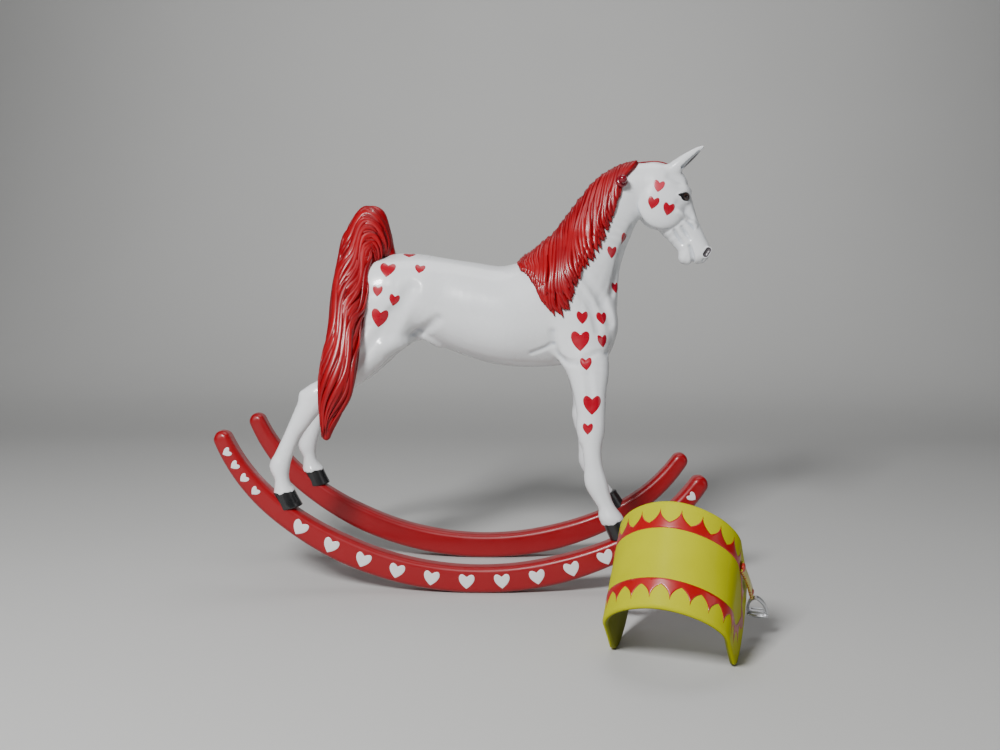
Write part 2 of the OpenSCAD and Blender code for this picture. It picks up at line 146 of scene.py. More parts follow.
HEAD_RIDGES = [
    ([(119, 226.2), (123.8, 223.4), (127.6, 220.2), (129.8, 217.8)], 1.7, 1.3, 1.5),
    ([(113.8, 243.4), (118.4, 242.4), (122.6, 240.3), (125.6, 238.4)], 2.0, 1.1, 2.4),
    ([(118.4, 235.9), (120.8, 237.6), (123.6, 238.2), (126.3, 236.8)], 0.9, 0.7, 0.8),
    ([(119.4, 235.1), (121.2, 232.4), (123.5, 231.2), (125.8, 232.3)], 0.8, 0.4, 0.8)]
JOWL = (109.6, 7.6, 231.4, 14.2, 5.4, 15.4)
EYE = (123.3, 234.8)
EYE_R = 2.9
EYE_FORWARD, EYE_UP = 0.22, 0.05
NOSTRIL = ((136.6, 200.6), (138.2, 203.2))
NOSTRIL_R = 1.8

# Painted hearts on the horse: x, z, width, turn in degrees
BODY_HEARTS = [
    (-54.9, 191.7, 9.4, 8), (-35.8, 192, 6.2, 12), (-60.3, 178.9, 6, 5), (-50.4, 173.5, 6.4, 12),
    (-58.9, 163, 10, 10), (61.1, 163.3, 7, 0), (73.2, 162.8, 7, 0), (59.9, 149.7, 11, 0),
    (73.3, 149.3, 6.9, 0), (63.3, 136.2, 7, -5), (66.8, 112.2, 10.4, 0), (64.3, 98.2, 6.2, 0),
    (86.6, 210.2, 6.6, 6), (79.2, 202, 6.6, 3), (82, 180.6, 6.2, 0), (86.6, 196.4, 6, 0)]
HEAD_HEARTS = [(106.9, 241.2, 6.6, 12), (103.6, 231.3, 6.8, 14), (112.8, 227.6, 7, 12)]
TOP_HEART_X = -43.5

# The mane: its crest from the withers to the poll, where its locks end, its outline
MANE_TIPS = [
    (26, 190.4), (30, 186), (33.6, 180.6), (37, 173), (40.6, 167.4), (44.8, 164), (49, 163.4),
    (52.8, 166.4), (55, 172.6), (57.4, 181), (61, 189.2), (66.3, 195), (70, 199.6), (73.8, 206),
    (76.8, 213.8), (79.6, 222.4), (82.4, 233)]
MANE_OUTLINE = [
    (21, 192), (28, 188.4), (33.4, 181.8), (37, 173), (43, 166.4), (49, 166), (54, 173), (56.6, 183),
    (63, 193.4), (70, 201.4), (73, 207), (77.4, 218), (80.8, 230.4), (82.4, 237), (89.4, 247.4),
    (94.6, 258), (92, 266), (60, 266), (16, 206)]
CREST = (24.5, 95)


def rng(seed):
    return np.random.default_rng(seed)


def smooth_min(a, b, k):
    """The lesser of two distances, rounded where they are within k of each other."""
    h = np.maximum(k - np.abs(a - b), 0) / k
    return np.minimum(a, b) - h * h * k * 0.25


def refined(blobs, steps=4):
    """The chain with points added on a smooth curve through its blobs."""
    b = np.array(blobs, float)
    ends = np.vstack([2 * b[0] - b[1], b, 2 * b[-1] - b[-2]])
    ends[[0, -1], 3:] = b[[0, -1], 3:]
    out = []
    for i in range(len(b) - 1):
        p0, p1, p2, p3 = ends[i : i + 4]
        for t in np.arange(steps) / steps:
            cubic = t * (3 * (p1 - p2) + p3 - p0)
            out.append(p1 + 0.5 * t * (p2 - p0 + t * (2 * p0 - 5 * p1 + 4 * p2 - p3 + cubic)))
    out.append(b[-1])
    return np.array(out)


def mirrored(blobs, side):
    """The chain on one side of the horse; the tables are for its left."""
    b = np.array(blobs, float)
    b[:, 1] *= side
    return b


def smoothed(path, times):
    """Evens out a path, its ends kept in place."""
    for _ in range(times):
        path[1:-1] = (path[:-2] + 2 * path[1:-1] + path[2:]) / 4
    return path


class Field:
    """Signed distance in mm on a regular grid, below zero inside the shape."""

    def __init__(self, low, high, voxel):
        self.voxel = voxel
        self.axes = [np.arange(lo, hi, voxel, dtype=np.float32) for lo, hi in zip(low, high)]
        self.d = np.full([len(a) for a in self.axes], FAR, np.float32)

    def window(self, low, high):
        cuts = tuple(slice(*np.searchsorted(a, (lo, hi))) for a, lo, hi in zip(self.axes, low, high))
        x, y, z = (a[c] for a, c in zip(self.axes, cuts))
        return cuts, (x[:, None, None], y[None, :, None], z[None, None, :])

    def chain(self, blobs, margin=9.0):
        """Distance to a chain of blobs and the window that it was worked out in."""
        low = (blobs[:, :3] - blobs[:, 3:]).min(0) - margin
        high = (blobs[:, :3] + blobs[:, 3:]).max(0) + margin
        outer, _ = self.window(low, high)
        start = [c.start for c in outer]
        d = np.full([max(c.stop - c.start, 0) for c in outer], FAR, np.float32)
        if 0 in d.shape:
            return None, d
        for a, b in zip(blobs[:-1], blobs[1:]):
            lo = np.minimum(a[:3] - a[3:], b[:3] - b[3:]) - margin
            hi = np.maximum(a[:3] + a[3:], b[:3] + b[3:]) + margin
            cuts, point = self.window(lo, hi)
            local = tuple(slice(c.start - s, c.stop - s) for c, s in zip(cuts, start))
            if 0 in d[local].shape:
                continue
            d[local] = np.minimum(d[local], swept_blob(point, a, b))
        return outer, d

    def add(self, blobs, k):
        cuts, d = self.chain(np.array(blobs, float))
        if cuts:
            self.d[cuts] = smooth_min(self.d[cuts], d, k)

    def cut(self, blobs, k):
        cuts, d = self.chain(np.array(blobs, float))
        if cuts:
            self.d[cuts] = -smooth_min(-self.d[cuts], d, k)

    def keep(self, mask_distance):
        """Keeps only what lies inside another distance given on the whole grid."""
        self.d = np.maximum(self.d, mask_distance.astype(np.float32))

    def grid(self):
        x, y, z = self.axes
        return x[:, None, None], y[None, :, None], z[None, None, :]

    def skin_y(self, x, z, side, level=0.0):
        """How far out to one side the surface is at (x, z), or None beside the shape."""
        ax, ay, az = self.axes
        i = float(np.clip((x - ax[0]) / self.voxel, 0, len(ax) - 1.001))
        k = float(np.clip((z - az[0]) / self.voxel, 0, len(az) - 1.001))
        i0, k0 = int(i), int(k)
        right, up = i - i0, k - k0
        d = self.d
        column = (1 - right) * ((1 - up) * d[i0, :, k0] + up * d[i0, :, k0 + 1])
        column = column + right * ((1 - up) * d[i0 + 1, :, k0] + up * d[i0 + 1, :, k0 + 1]) - level
        inside = np.nonzero(column < 0)[0]
        if not len(inside):
            return None
        j = inside[-1] if side > 0 else inside[0]
        n = min(max(j + side, 0), len(column) - 1)
        if n == j:
            return float(ay[j])
        return float(ay[j] + (ay[n] - ay[j]) * column[j] / (column[j] - column[n]))

    def mesh(self):
        """Points in mm and quads of the surface."""
        grid = vdb.FloatGrid(background=3 * self.voxel)
        grid.copyFromArray(np.clip(self.d, -3 * self.voxel, 3 * self.voxel))
        points, quads = grid.convertToQuads(isovalue=0.0)
        low = np.array([a[0] for a in self.axes])
        return low + points * self.voxel, quads


def swept_blob(point, a, b):
    """Distance from grid points to an ellipsoid that moves and grows from a to b."""
    mean = (a[3:] + b[3:]) / 2
    step = (b[:3] - a[:3]) / mean
    length2 = float(step @ step)
    if length2 < 1e-9:
        t = np.float32(0)
    else:
        t = sum((point[i] - np.float32(a[i])) * np.float32(step[i] / mean[i]) for i in range(3))
        t = np.clip(t / np.float32(length2), 0, 1)
    q2, g2 = 0, 0
    for i in range(3):
        r = np.float32(a[3 + i]) + t * np.float32(b[3 + i] - a[3 + i])
        q = (point[i] - np.float32(a[i]) - t * np.float32(b[i] - a[i])) / r
        q2 = q2 + q * q
        g2 = g2 + (q / r) ** 2
    k0 = np.sqrt(q2)
    return k0 * (k0 - 1) / np.maximum(np.sqrt(g2), 1e-4)


# How much shallower a groove or ridge is at its ends than in its middle
END_FADE = 0.45


class Sculpt:
    """Steps that build the horse, found once on a draft and replayed on finer grids."""

    def __init__(self, low, high):
        self.draft = Field(low, high, DRAFT_VOXEL)
        self.steps = []

    def do(self, kind, blobs, k):
        blobs = np.array(blobs, float)
        self.steps.append((kind, blobs, k))
        getattr(self.draft, kind)(blobs, k)

    def line(self, kind, points, radius, amount, k, side):
        """A ridge or groove that follows the skin along (x, z) points."""
        dense = refined([(x, 0, z, 1, 1, 1) for x, z in points], 3)
        outward = 1 if kind == "cut" else -1
        blobs = []
        for n, p in enumerate(dense):
            y = self.draft.skin_y(p[0], p[2], side)
            if y is None:
                continue
            fade = END_FADE * (2 * n / (len(dense) - 1) - 1) ** 2
            out = outward * (radius - amount + fade * amount)
            blobs.append((p[0], y + side * out, p[2], radius, radius, radius))
        if len(blobs) > 1:
            self.do(kind, blobs, k)

    def replay(self, low, high, voxel):
        field = Field(low, high, voxel)
        for kind, blobs, k in self.steps:
            getattr(field, kind)(blobs, k)
        return field


def sculpt_horse():
    horse = Sculpt((-134, -54, 34), (146, 54, 270))
    horse.do("add", refined(TRUNK), 0.5)
    horse.do("add", refined(NECK), 16)
    for side in (RIGHT, LEFT):
        horse.do("add", refined(mirrored(SHOULDER, side)), 7)
        horse.do("add", refined(mirrored(HIND_LEG, side)), 8)
        horse.do("add", refined(mirrored(FRONT_LEG, side)), 4)
        horse.do("add", mirrored(HOCK, side), 5)
        horse.do("add", mirrored(KNEE, side), 5)
    for side in (RIGHT, LEFT):
        for points, radius, amount, k in BODY_GROOVES:
            horse.line("cut", points, radius, amount, k, side)
        for points, radius, amount, k in BODY_RIDGES:
            horse.line("add", points, radius, amount, k, side)
    sculpt_head(horse)
    return horse


def sculpt_head(horse):
    horse.do("add", refined(HEAD), 7)
    horse.do("add", refined(JAW), 3)
    horse.do("add", CHIN, 1.6)
    horse.do("add", LIP, 2)
    for side in (RIGHT, LEFT):
        jowl = mirrored([JOWL, JOWL], side)
        jowl[1, 0] += 0.5
        horse.do("add", jowl, 1.3)
        horse.do("add", refined(mirrored(EAR, side)), 2.4)
        for points, radius, amount, k in HEAD_RIDGES:
            horse.line("add", points, radius, amount, k, side)
        for points, radius, amount, k in HEAD_GROOVES:
            horse.line("cut", points, radius, amount, k, side)
        horse.do("cut", refined(mirrored(EAR_BOWL, side)), 0.7)
        rim = [(x, 5.0, z, 2.3, 1.9, 2.3) for x, z in NOSTRIL]
        horse.do("add", mirrored(rim, side), 1.2)
        hole = []
        for x, z in NOSTRIL:
            y = horse.draft.skin_y(x, z, side)
            hole.append((x, y if y is not None else 5 * side, z, NOSTRIL_R, 2.2, NOSTRIL_R))
        horse.do("cut", hole, 0.5)
    horse.do("cut", [(129.9, -7, 193.4, 1, 1, 1.4), (129.9, 7, 193.4, 1, 1, 1.4)], 1)


def tube_faces(rows, n, first=0):
    """Quads round a tube of rows of n points each."""
    faces = []
    for r in range(rows - 1):
        a, b = first + r * n, first + (r + 1) * n
        faces += [(a + i, a + (i + 1) % n, b + (i + 1) % n, b + i) for i in range(n)]
    return faces


def flat_tube(rows, n):
    """Faces of a tube closed by flat ends."""
    last = (rows - 1) * n
    return tube_faces(rows, n) + [tuple(range(n))[::-1], tuple(range(last, last + n))]


def pointed_tube(rows, n):
    """Faces of a tube between one point before its first row and one after its last."""
    last = 1 + (rows - 1) * n
    start = [(0, 1 + (i + 1) % n, 1 + i) for i in range(n)]
    return start + tube_faces(rows, n, 1) + [(last + i, last + (i + 1) % n, last + n) for i in range(n)]


def mesh_object(name, points_mm, faces, smooth=True):
    """A new mesh object from points in mm; faces is an array or a list."""
    mesh = bpy.data.meshes.new(name)
    points = np.asarray(points_mm, float) * MM
    mesh.from_pydata(points.tolist(), [], faces.tolist() if isinstance(faces, np.ndarray) else faces)
    mesh.validate()
    if smooth:
        mesh.shade_smooth()
    obj = bpy.data.objects.new(name, mesh)
    bpy.context.scene.collection.objects.link(obj)
    return obj


def finish_piece(obj, material, body, slot, *nodes):
    """Gives a piece its material and body, and hides the CAD nodes that it stands for. The slot is not used.
    """
    obj.data.materials.append(material)
    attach(obj, body)
    if nodes:
        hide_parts(*nodes)
    return obj


def attribute(obj, name, values):
    obj.data.attributes.new(name, "FLOAT", "POINT").data.foreach_set("value", np.asarray(values, np.float32))


def face_out(obj):
    """Turns a closed mesh's faces outwards."""
    bm = bmesh.new()
    bm.from_mesh(obj.data)
    bmesh.ops.recalc_face_normals(bm, faces=bm.faces)
    bm.to_mesh(obj.data)
    bm.free()


# Materials


class Nodes:
    """A short way to write a node material."""

    def __init__(self, name):
        self.material = bpy.data.materials.new(name)
        self.material.use_nodes = True
        self.tree = self.material.node_tree
        self.shader = self.tree.nodes["Principled BSDF"]

    def node(self, kind, inputs=(), **settings):
        node = self.tree.nodes.new(kind)
        for key, value in settings.items():
            setattr(node, key, value)
        for key, value in dict(inputs).items():
            self.put(node.inputs[key], value)
        return node

    def put(self, socket, value):
        if isinstance(value, bpy.types.NodeSocket):
            self.tree.links.new(value, socket)
        elif isinstance(value, tuple) and len(value) == 3 and socket.type == "RGBA":
            socket.default_value = (*value, 1)
        else:
            socket.default_value = value

    def set(self, **inputs):
        for key, value in inputs.items():
            self.put(self.shader.inputs[key.replace("_", " ")], value)

    def noise(self, scale, detail=3.0, rough=0.55, distort=0.0):
        place = self.node("ShaderNodeTexCoord").outputs["Object"]
        return self.node(
            "ShaderNodeTexNoise",
            {"Vector": place, "Scale": scale, "Detail": detail, "Roughness": rough, "Distortion": distort},
        ).outputs["Fac"]

    def remap(self, value, low, high, to_low, to_high):
        return self.node(
            "ShaderNodeMapRange",
            {"Value": value, "From Min": low, "From Max": high, "To Min": to_low, "To Max": to_high},
            interpolation_type="SMOOTHSTEP",
        ).outputs["Result"]

    def mix(self, fac, a, b):
        mix = self.node("ShaderNodeMix", data_type="RGBA")
        self.put(mix.inputs[0], fac)
        self.put(mix.inputs[6], a)
        self.put(mix.inputs[7], b)
        return mix.outputs[2]

    def attr(self, name):
        return self.node("ShaderNodeAttribute", attribute_name=name).outputs["Fac"]

    def bump(self, height, strength, distance):
        self.set(
            Normal=self.node(
                "ShaderNodeBump", {"Height": height, "Strength": strength, "Distance": distance}
            ).outputs["Normal"]
        )


def gloss_paint(name, base, deep, rough=(0.2, 0.3), coat=0.5, paint_crease_shade=True, extra=None):
    """Sprayed gloss paint: faint tone drift, orange-peel skin, and painted shade that darkens the creases
    towards the deep colour.
    """
    m = Nodes(name)
    drift = m.remap(m.noise(28, 2), 0.35, 0.7, 0.0, 1.0)
    colour = m.mix(drift, base, tuple(0.95 * c for c in base))
    # Painted shade: where the surface folds inwards (low pointiness) the colour is mixed towards the deep
    # tone.
    if paint_crease_shade:
        point = m.node("ShaderNodeNewGeometry").outputs["Pointiness"]
        colour = m.mix(m.remap(point, 0.465, 0.497, 1.0, 0.0), colour, deep)
    if extra:
        for attribute_name, paint in extra:
            colour = m.mix(m.remap(m.attr(attribute_name), 0.35, 0.65, 0, 1), colour, paint)
    m.set(Base_Color=colour, Coat_Weight=coat, Coat_Roughness=0.08)
    m.set(Roughness=m.remap(m.noise(60, 3), 0.3, 0.7, *rough))
    m.bump(m.noise(420, 2), 0.05, 0.0004)
    return m.material


def hair_material():
    """Moulded hair in red gloss enamel, with painted shade between the strands."""
    m = Nodes("hair_paint")
    point = m.node("ShaderNodeNewGeometry").outputs["Pointiness"]
    tone = m.remap(m.noise(45, 3), 0.35, 0.65, 0, 1)
    red = m.mix(tone, (0.38, 0.0, 0.006), (0.28, 0.0, 0.006))
    red = m.mix(m.attr("lightness"), red, (0.52, 0.008, 0.014))
    # Painted shade: where the strands fold together (low pointiness) the red is mixed towards a near black
    # red.
    deep = m.mix(m.remap(point, 0.4, 0.49, 1, 0), red, (0.14, 0.0, 0.003))
    m.set(Base_Color=deep, Coat_Weight=0.2, Coat_Roughness=0.14)
    m.set(Roughness=m.remap(m.noise(80, 2), 0.3, 0.7, 0.32, 0.44), Specular_IOR_Level=0.35)
    m.bump(m.noise(900, 2), 0.08, 0.0003)
    return m.material


def eye_material():
    """A dark brown iris round a black pupil under a clear gloss coat."""
    m = Nodes("eye_gloss")
    radial = m.attr("radial")
    streak = m.remap(m.noise(900, 3), 0.3, 0.7, 0.6, 1.3)
    iris = m.mix(streak, (0.012, 0.006, 0.005), (0.04, 0.018, 0.012))
    ring = m.mix(m.remap(radial, 0.62, 0.8, 0, 1), iris, (0.006, 0.004, 0.004))
    m.set(Base_Color=m.mix(m.remap(radial, 0.3, 0.38, 1, 0), ring, (0.003, 0.003, 0.003)))
    m.set(Roughness=0.08, Coat_Weight=1.0, Coat_Roughness=0.02)
    return m.material


def metal_material(name, tint, rough):
    m = Nodes(name)
    m.set(Base_Color=m.mix(m.noise(220, 3), tint, tuple(0.72 * c for c in tint)))
    m.set(Metallic=0.85, Roughness=m.remap(m.noise(350, 3), 0.3, 0.7, rough - 0.08, rough + 0.12))
    m.bump(m.noise(700, 2), 0.12, 0.0003)
    return m.material


def strap_material():
    """Yellow strap with its rivets and edges touched in red by brush."""
    m = Nodes("strap_paint")
    yellow = m.mix(m.noise(90, 3), (0.62, 0.56, 0.04), (0.5, 0.42, 0.03))
    edge = m.remap(m.attr("red"), 0.35, 0.65, 0, 1)
    m.set(Base_Color=m.mix(edge, yellow, (0.5, 0.03, 0.015)), Coat_Weight=0.4, Coat_Roughness=0.12)
    m.set(Roughness=m.remap(m.noise(120, 3), 0.3, 0.7, 0.28, 0.42))
    m.bump(m.noise(600, 3), 0.15, 0.0003)
    return m.material


def saddle_material():
    """Satin greenish yellow enamel, with painted shade making the inside duller and darker."""
    m = Nodes("saddle_yellow_paint")
    tone = m.remap(m.noise(24, 3), 0.35, 0.7, 0, 1)
    outside = m.mix(tone, (0.5, 0.505, 0.0), (0.44, 0.445, 0.0))
    # Painted shade: the inner face gets a dark olive yellow in place of the outside's yellow.
    inside = m.mix(m.noise(50, 3), (0.24, 0.25, 0.01), (0.17, 0.18, 0.01))
    m.set(Base_Color=m.mix(m.remap(m.attr("inner"), 0.3, 0.7, 0, 1), outside, inside))
    m.set(Roughness=m.remap(m.noise(70, 3), 0.3, 0.7, 0.46, 0.56), Specular_IOR_Level=0.08)
    m.bump(m.noise(380, 3), 0.08, 0.0004)
    return m.material


# The second colour of each gloss paint is the painted shade for its creases; it is unused where the crease
# flag is False.
WHITE = gloss_paint(
    "horse_white_paint", (0.86, 0.88, 0.9), (0.58, 0.62, 0.68),
    extra=[("grey", (0.1, 0.09, 0.1)), ("black", (0.006, 0.005, 0.006)), ("pink", (0.72, 0.5, 0.52))])
ROCKER_RED = gloss_paint("rocker_red_paint", (0.3, 0.0, 0.005), (0.14, 0.0, 0.002), (0.3, 0.42), 0.15)
HEART_RED = gloss_paint("heart_red_paint", (0.42, 0.0, 0.016), (0.4, 0.004, 0.01), (0.22, 0.32), 0.4, False)
HEART_PALE = gloss_paint("heart_pale_paint", (0.6, 0.05, 0.08), (0.4, 0.004, 0.01), (0.22, 0.32), 0.4, False)
HEART_WHITE = gloss_paint("heart_white_paint", (0.8, 0.81, 0.82), (0.6, 0.6, 0.62), (0.3, 0.4), 0.3, False)
HOOF_BLACK = gloss_paint("hoof_black_paint", (0.012, 0.012, 0.013), (0.004, 0.004, 0.004), (0.24, 0.4), 0.35)
HANDLE_RED = gloss_paint("handle_crimson_paint", (0.2, 0.002, 0.012), (0.08, 0.001, 0.004), (0.2, 0.3), 0.6)
BAND_RED = gloss_paint("band_red_paint", (0.4, 0.002, 0.004), (0.4, 0.004, 0.01), (0.3, 0.42), 0.25, False)
HAIR = hair_material()
EYE_GLOSS = eye_material()
STEEL = metal_material("pin_steel", (0.6, 0.6, 0.62), 0.3)
SILVER = metal_material("stirrup_silver_paint", (0.72, 0.73, 0.76), 0.34)
STRAP = strap_material()
YELLOW = saddle_material()


# The horse's skin


def smoothstep(x, low, high):
    t = np.clip((x - low) / (high - low), 0, 1)
    return t * t * (3 - 2 * t)


# The eye's dark rim and its corner (x, z and two radii), and the ear's bowl
EYE_RIM = (EYE[0], EYE[1] + 0.2, 3.3, 2.75)
EYE_CORNER = (120.3, 235.9, 2.0, 1.0)
EAR_LINE = ((121.6, 250.8), (132.8, 262.6))
BLUSH_FROM = 108


def oval(points, x, z, rx, rz):
    """How far points lie from an oval's middle in the side view, 1 on its edge."""
    return np.hypot((points[:, 0] - x) / rx, (points[:, 2] - z) / rz)


def paint_head(obj, points):
    """Attributes for the dark eye rims, nostrils, ear bowls and the blush on the jowl."""
    black, grey, pink = (np.zeros(len(points)) for _ in range(3))
    for side in (RIGHT, LEFT):
        same = points[:, 1] * side > 2
        rim = oval(points, *EYE_RIM)
        corner = oval(points, *EYE_CORNER)
        black = np.maximum(black, same * (1 - smoothstep(np.minimum(rim, corner), 0.8, 1.1)))
        a, b = (np.array((x, z)) for x, z in NOSTRIL)
        q = points[:, [0, 2]] - a
        t = np.clip(q @ (b - a) / ((b - a) @ (b - a)), 0, 1)
        away = np.linalg.norm(q - t[:, None] * (b - a), axis=1)
        grey = np.maximum(grey, same * (1 - smoothstep(away, NOSTRIL_R - 0.35, NOSTRIL_R + 0.25)))
        run = np.subtract(EAR_LINE[1], EAR_LINE[0])
        q = points[:, [0, 2]] - EAR_LINE[0]
        share = q @ run / (run @ run)
        off = np.abs(q[:, 0] * run[1] - q[:, 1] * run[0]) / np.linalg.norm(run)
        leaf = 1.3 * np.clip(np.sin(np.pi * np.clip(share, 0, 1)), 0, 1) ** 0.6 + 0.01
        inside = (share > 0) & (share < 1) & (np.abs(points[:, 1]) > 4.6)
        grey = np.maximum(grey, 0.6 * same * inside * (1 - smoothstep(off / leaf, 0.6, 1.2)))
        edge = np.abs(oval(points, JOWL[0], JOWL[2], JOWL[3], JOWL[5]) - 1.03)
        back = smoothstep(BLUSH_FROM - points[:, 0], 0, 8)
        pink = np.maximum(pink, 0.3 * same * back * (1 - smoothstep(edge, 0.02, 0.09)))
    for name, values in zip(PAINTS, (black, grey, pink)):
        attribute(obj, name, values)


def plane_distance(field, point, normal):
    """Distance past a plane, on the whole grid."""
    x, y, z = field.grid()
    n = np.array(normal, float) / np.linalg.norm(normal)
    return (x - point[0]) * n[0] + (y - point[1]) * n[1] + (z - point[2]) * n[2]


# Where the separately made skins meet: each runs a little way under its neighbour
HEAD_CUT = ((92, 0, 236), (1, 0, 0))
SKIN_OVERLAP = 1.5
LEG_TOP = 128.0


def below_coronet(leg, end, side):
    """Distance below the ragged line where a leg's white paint ends on its hoof."""
    here = hoof_frame(end, side)
    up = here.to_3x3() @ Vector((0, 0, 1))
    line = here @ Vector((-1.9, 0, CORONET - 0.6))
    x, y, _ = leg.grid()
    around = np.arctan2(y - side * ROCKER_Y, x - line.x)
    ragged = 0.3 * np.sin(5 * around + 1) + 0.18 * np.sin(11 * around + 3)
    return ragged - plane_distance(leg, line, up)


def skin_piece(name, field, paint, *nodes):
    """The white skin of one field, its paint worked out by a function of its points."""
    points, quads = field.mesh()
    skin = mesh_object(name, points, quads)
    paint(skin, points)
    return finish_piece(skin, WHITE, HORSE, "body_white", *nodes)


def paint_plain(obj, points):
    for name in PAINTS:
        attribute(obj, name, np.zeros(len(points)))


def make_horse(horse):
    body = horse.replay((-90, -40, 120), (100, 40, 262), SKIN_VOXEL)
    body.keep(plane_distance(body, *HEAD_CUT) - SKIN_OVERLAP)
    body.keep(LEG_TOP - SKIN_OVERLAP - body.grid()[2])
    head = horse.replay((78, -16, 192), (142, 16, 268), HEAD_VOXEL)
    head.keep(-plane_distance(head, *HEAD_CUT) - SKIN_OVERLAP)
    pieces = [
        skin_piece("horse_body", body, paint_plain, "body_right", "body_left"),
        skin_piece("horse_head", head, paint_head)]
    for end, where in ENDS:
        for side, word in SIDES:
            x = (40, 100) if end > 0 else (-134, -48)
            y = (-54, 0) if side < 0 else (0, 54)
            leg = horse.replay((x[0], y[0], 36), (x[1], y[1], LEG_TOP + 4), LEG_VOXEL)
            leg.keep(plane_distance(leg, (0, 0, LEG_TOP + SKIN_OVERLAP), (0, 0, 1)))
            leg.keep(below_coronet(leg, end, side))
            name = f"leg_{where}_{word}"
            pieces.append(skin_piece(f"{name}_skin", leg, paint_plain, name))
    return pieces


def rest_point(x, y, z):
    """A place drawn upright on the rockers, after the toy has rolled to its rest."""
    up = z - ROCKER_R
    return (
        x * math.cos(LEAN) + up * math.sin(LEAN),
        y,
        ROCKER_R - x * math.sin(LEAN) + up * math.cos(LEAN),
    )


# Hearts


def heart_outline(count, width):
    """A plump heart: round lobes, a shallow cleft and sides that bulge to the point."""
    t = np.linspace(0, 2 * np.pi, count, endpoint=False)
    x = 16 * np.sign(np.sin(t)) * np.abs(np.sin(t)) ** 1.8
    y = 14.2 * np.cos(t) - 4.9 * np.cos(2 * t) - 1.9 * np.cos(3 * t) - 0.7 * np.cos(4 * t) + 1.5
    return np.stack([x, y], 1) * width / 32


HEART_SIDES = 40
BODY_HEART_STRETCH = 1.15
HEART_RINGS = (0.35, 0.7, 0.93, 1.0, 1.02)
HEART_LIFT = (0.16, 0.15, 0.14, 0.1, -0.25)


def heart_on(trees, origin, toward, width, turn):
    """Points and faces of one painted heart laid on the nearest skin along a direction."""
    toward = Vector(toward).normalized()
    hits = [tree.ray_cast(Vector(origin), toward) for tree in trees]
    hits = [h for h in hits if h[0] is not None]
    if not hits:
        return None
    place, normal = min(hits, key=lambda h: h[3])[:2]
    if normal.dot(toward) > 0:
        normal = -normal
    across = Vector((0, 0, 1)).cross(normal).normalized()
    if across.length < 0.1:
        across = Vector((1, 0, 0))
    if across.x * (-1 if toward.y < 0 else 1) < 0:
        across = -across
    up = normal.cross(across)
    up = up if up.z > 0 else -up
    angle = math.radians(-turn)
    e1 = across * math.cos(angle) + up * math.sin(angle)
    e2 = up * math.cos(angle) - across * math.sin(angle)
    points = []

    def on_skin(a, b, lift):
        start = place + e1 * a + e2 * b + normal * 6
        found = [tree.ray_cast(start, -normal) for tree in trees]
        found = [h for h in found if h[0] is not None and h[3] < 14]
        base = min(found, key=lambda h: h[3])[0] if found else start - normal * 6
        points.append(base + normal * lift)

    on_skin(0, 0, HEART_LIFT[0])
    outline = heart_outline(HEART_SIDES, width) * (1, BODY_HEART_STRETCH)
    for ring, lift in zip(HEART_RINGS, HEART_LIFT):
        for a, b in outline * ring:
            on_skin(a, b, lift)
    on_skin(0, 0, HEART_LIFT[-1])
    return [tuple(p) for p in points], pointed_tube(len(HEART_RINGS), HEART_SIDES)


def joined(parts):
    """Several point and face lists as one."""
    points, faces = [], []
    for p, f in parts:
        base = len(points)
        points += list(p)
        faces += [tuple(i + base for i in face) for face in f]
    return points, faces


def make_body_hearts(trees):
    for side, word in SIDES:
        for group, rows, paint in (
            ("body", BODY_HEARTS, HEART_RED), ("head", HEAD_HEARTS[1:], HEART_RED),
            ("cheek", HEAD_HEARTS[:1], HEART_PALE)):
            parts = []
            for x, z, width, turn in rows:
                parts.append(heart_on(trees, (x, side * 80, z), (0, -side, 0), width, turn * -side))
            if group == "body" and side == RIGHT:
                parts.append(heart_on(trees, (TOP_HEART_X, -7, 240), (0, 0, -1), 7.4, 0))
            piece = mesh_object(f"{group}_hearts_{word}", *joined([p for p in parts if p]))
            face_out(piece)
            finish_piece(piece, paint, HORSE, "hair_red")


# Hair


def frames_along(path, normals):
    tangent = np.gradient(path, axis=0)
    tangent /= np.linalg.norm(tangent, axis=1)[:, None] + 1e-9
    out = normals - (normals * tangent).sum(1)[:, None] * tangent
    out /= np.linalg.norm(out, axis=1)[:, None] + 1e-9
    return np.cross(tangent, out), out


LOCK_SIDES = 10
LOCK_GROOVE = 0.2


def lock(path, normals, width, thick):
    """One moulded lock of hair: a flat tapered tube with fine grooves along it."""
    across, out = frames_along(path, normals)
    turn = np.arange(LOCK_SIDES) / LOCK_SIDES * 2 * np.pi
    groove = 1 - LOCK_GROOVE * (np.arange(LOCK_SIDES) % 2)
    c, s = np.cos(turn) * groove, np.sin(turn) * groove
    rings = (
        path[:, None]
        + across[:, None] * (width[:, None] * c)[..., None]
        + out[:, None] * (thick[:, None] * s)[..., None]
    )
    points = np.vstack([path[:1], rings.reshape(-1, 3), path[-1:]])
    return points, pointed_tube(len(path), LOCK_SIDES)


def make_hair(name, locks, body_points, body_faces, slot, *nodes):
    """Joins a hair mass and its locks in one piece, each lock a shade lighter or darker."""
    points = [np.asarray(body_points)]
    faces = [tuple(int(v) for v in f) for f in body_faces]
    shade = [np.full(len(body_points), 0.0)]
    count = len(body_points)
    pick = rng(len(locks))
    for p, f in locks:
        points.append(p)
        faces += [tuple(v + count for v in face) for face in f]
        shade.append(np.full(len(p), pick.uniform(0.0, 0.55)))
        count += len(p)
    piece = mesh_object(name, np.vstack(points), faces)
    attribute(piece, "lightness", np.concatenate(shade))
    return finish_piece(piece, HAIR, HORSE, slot, *nodes)


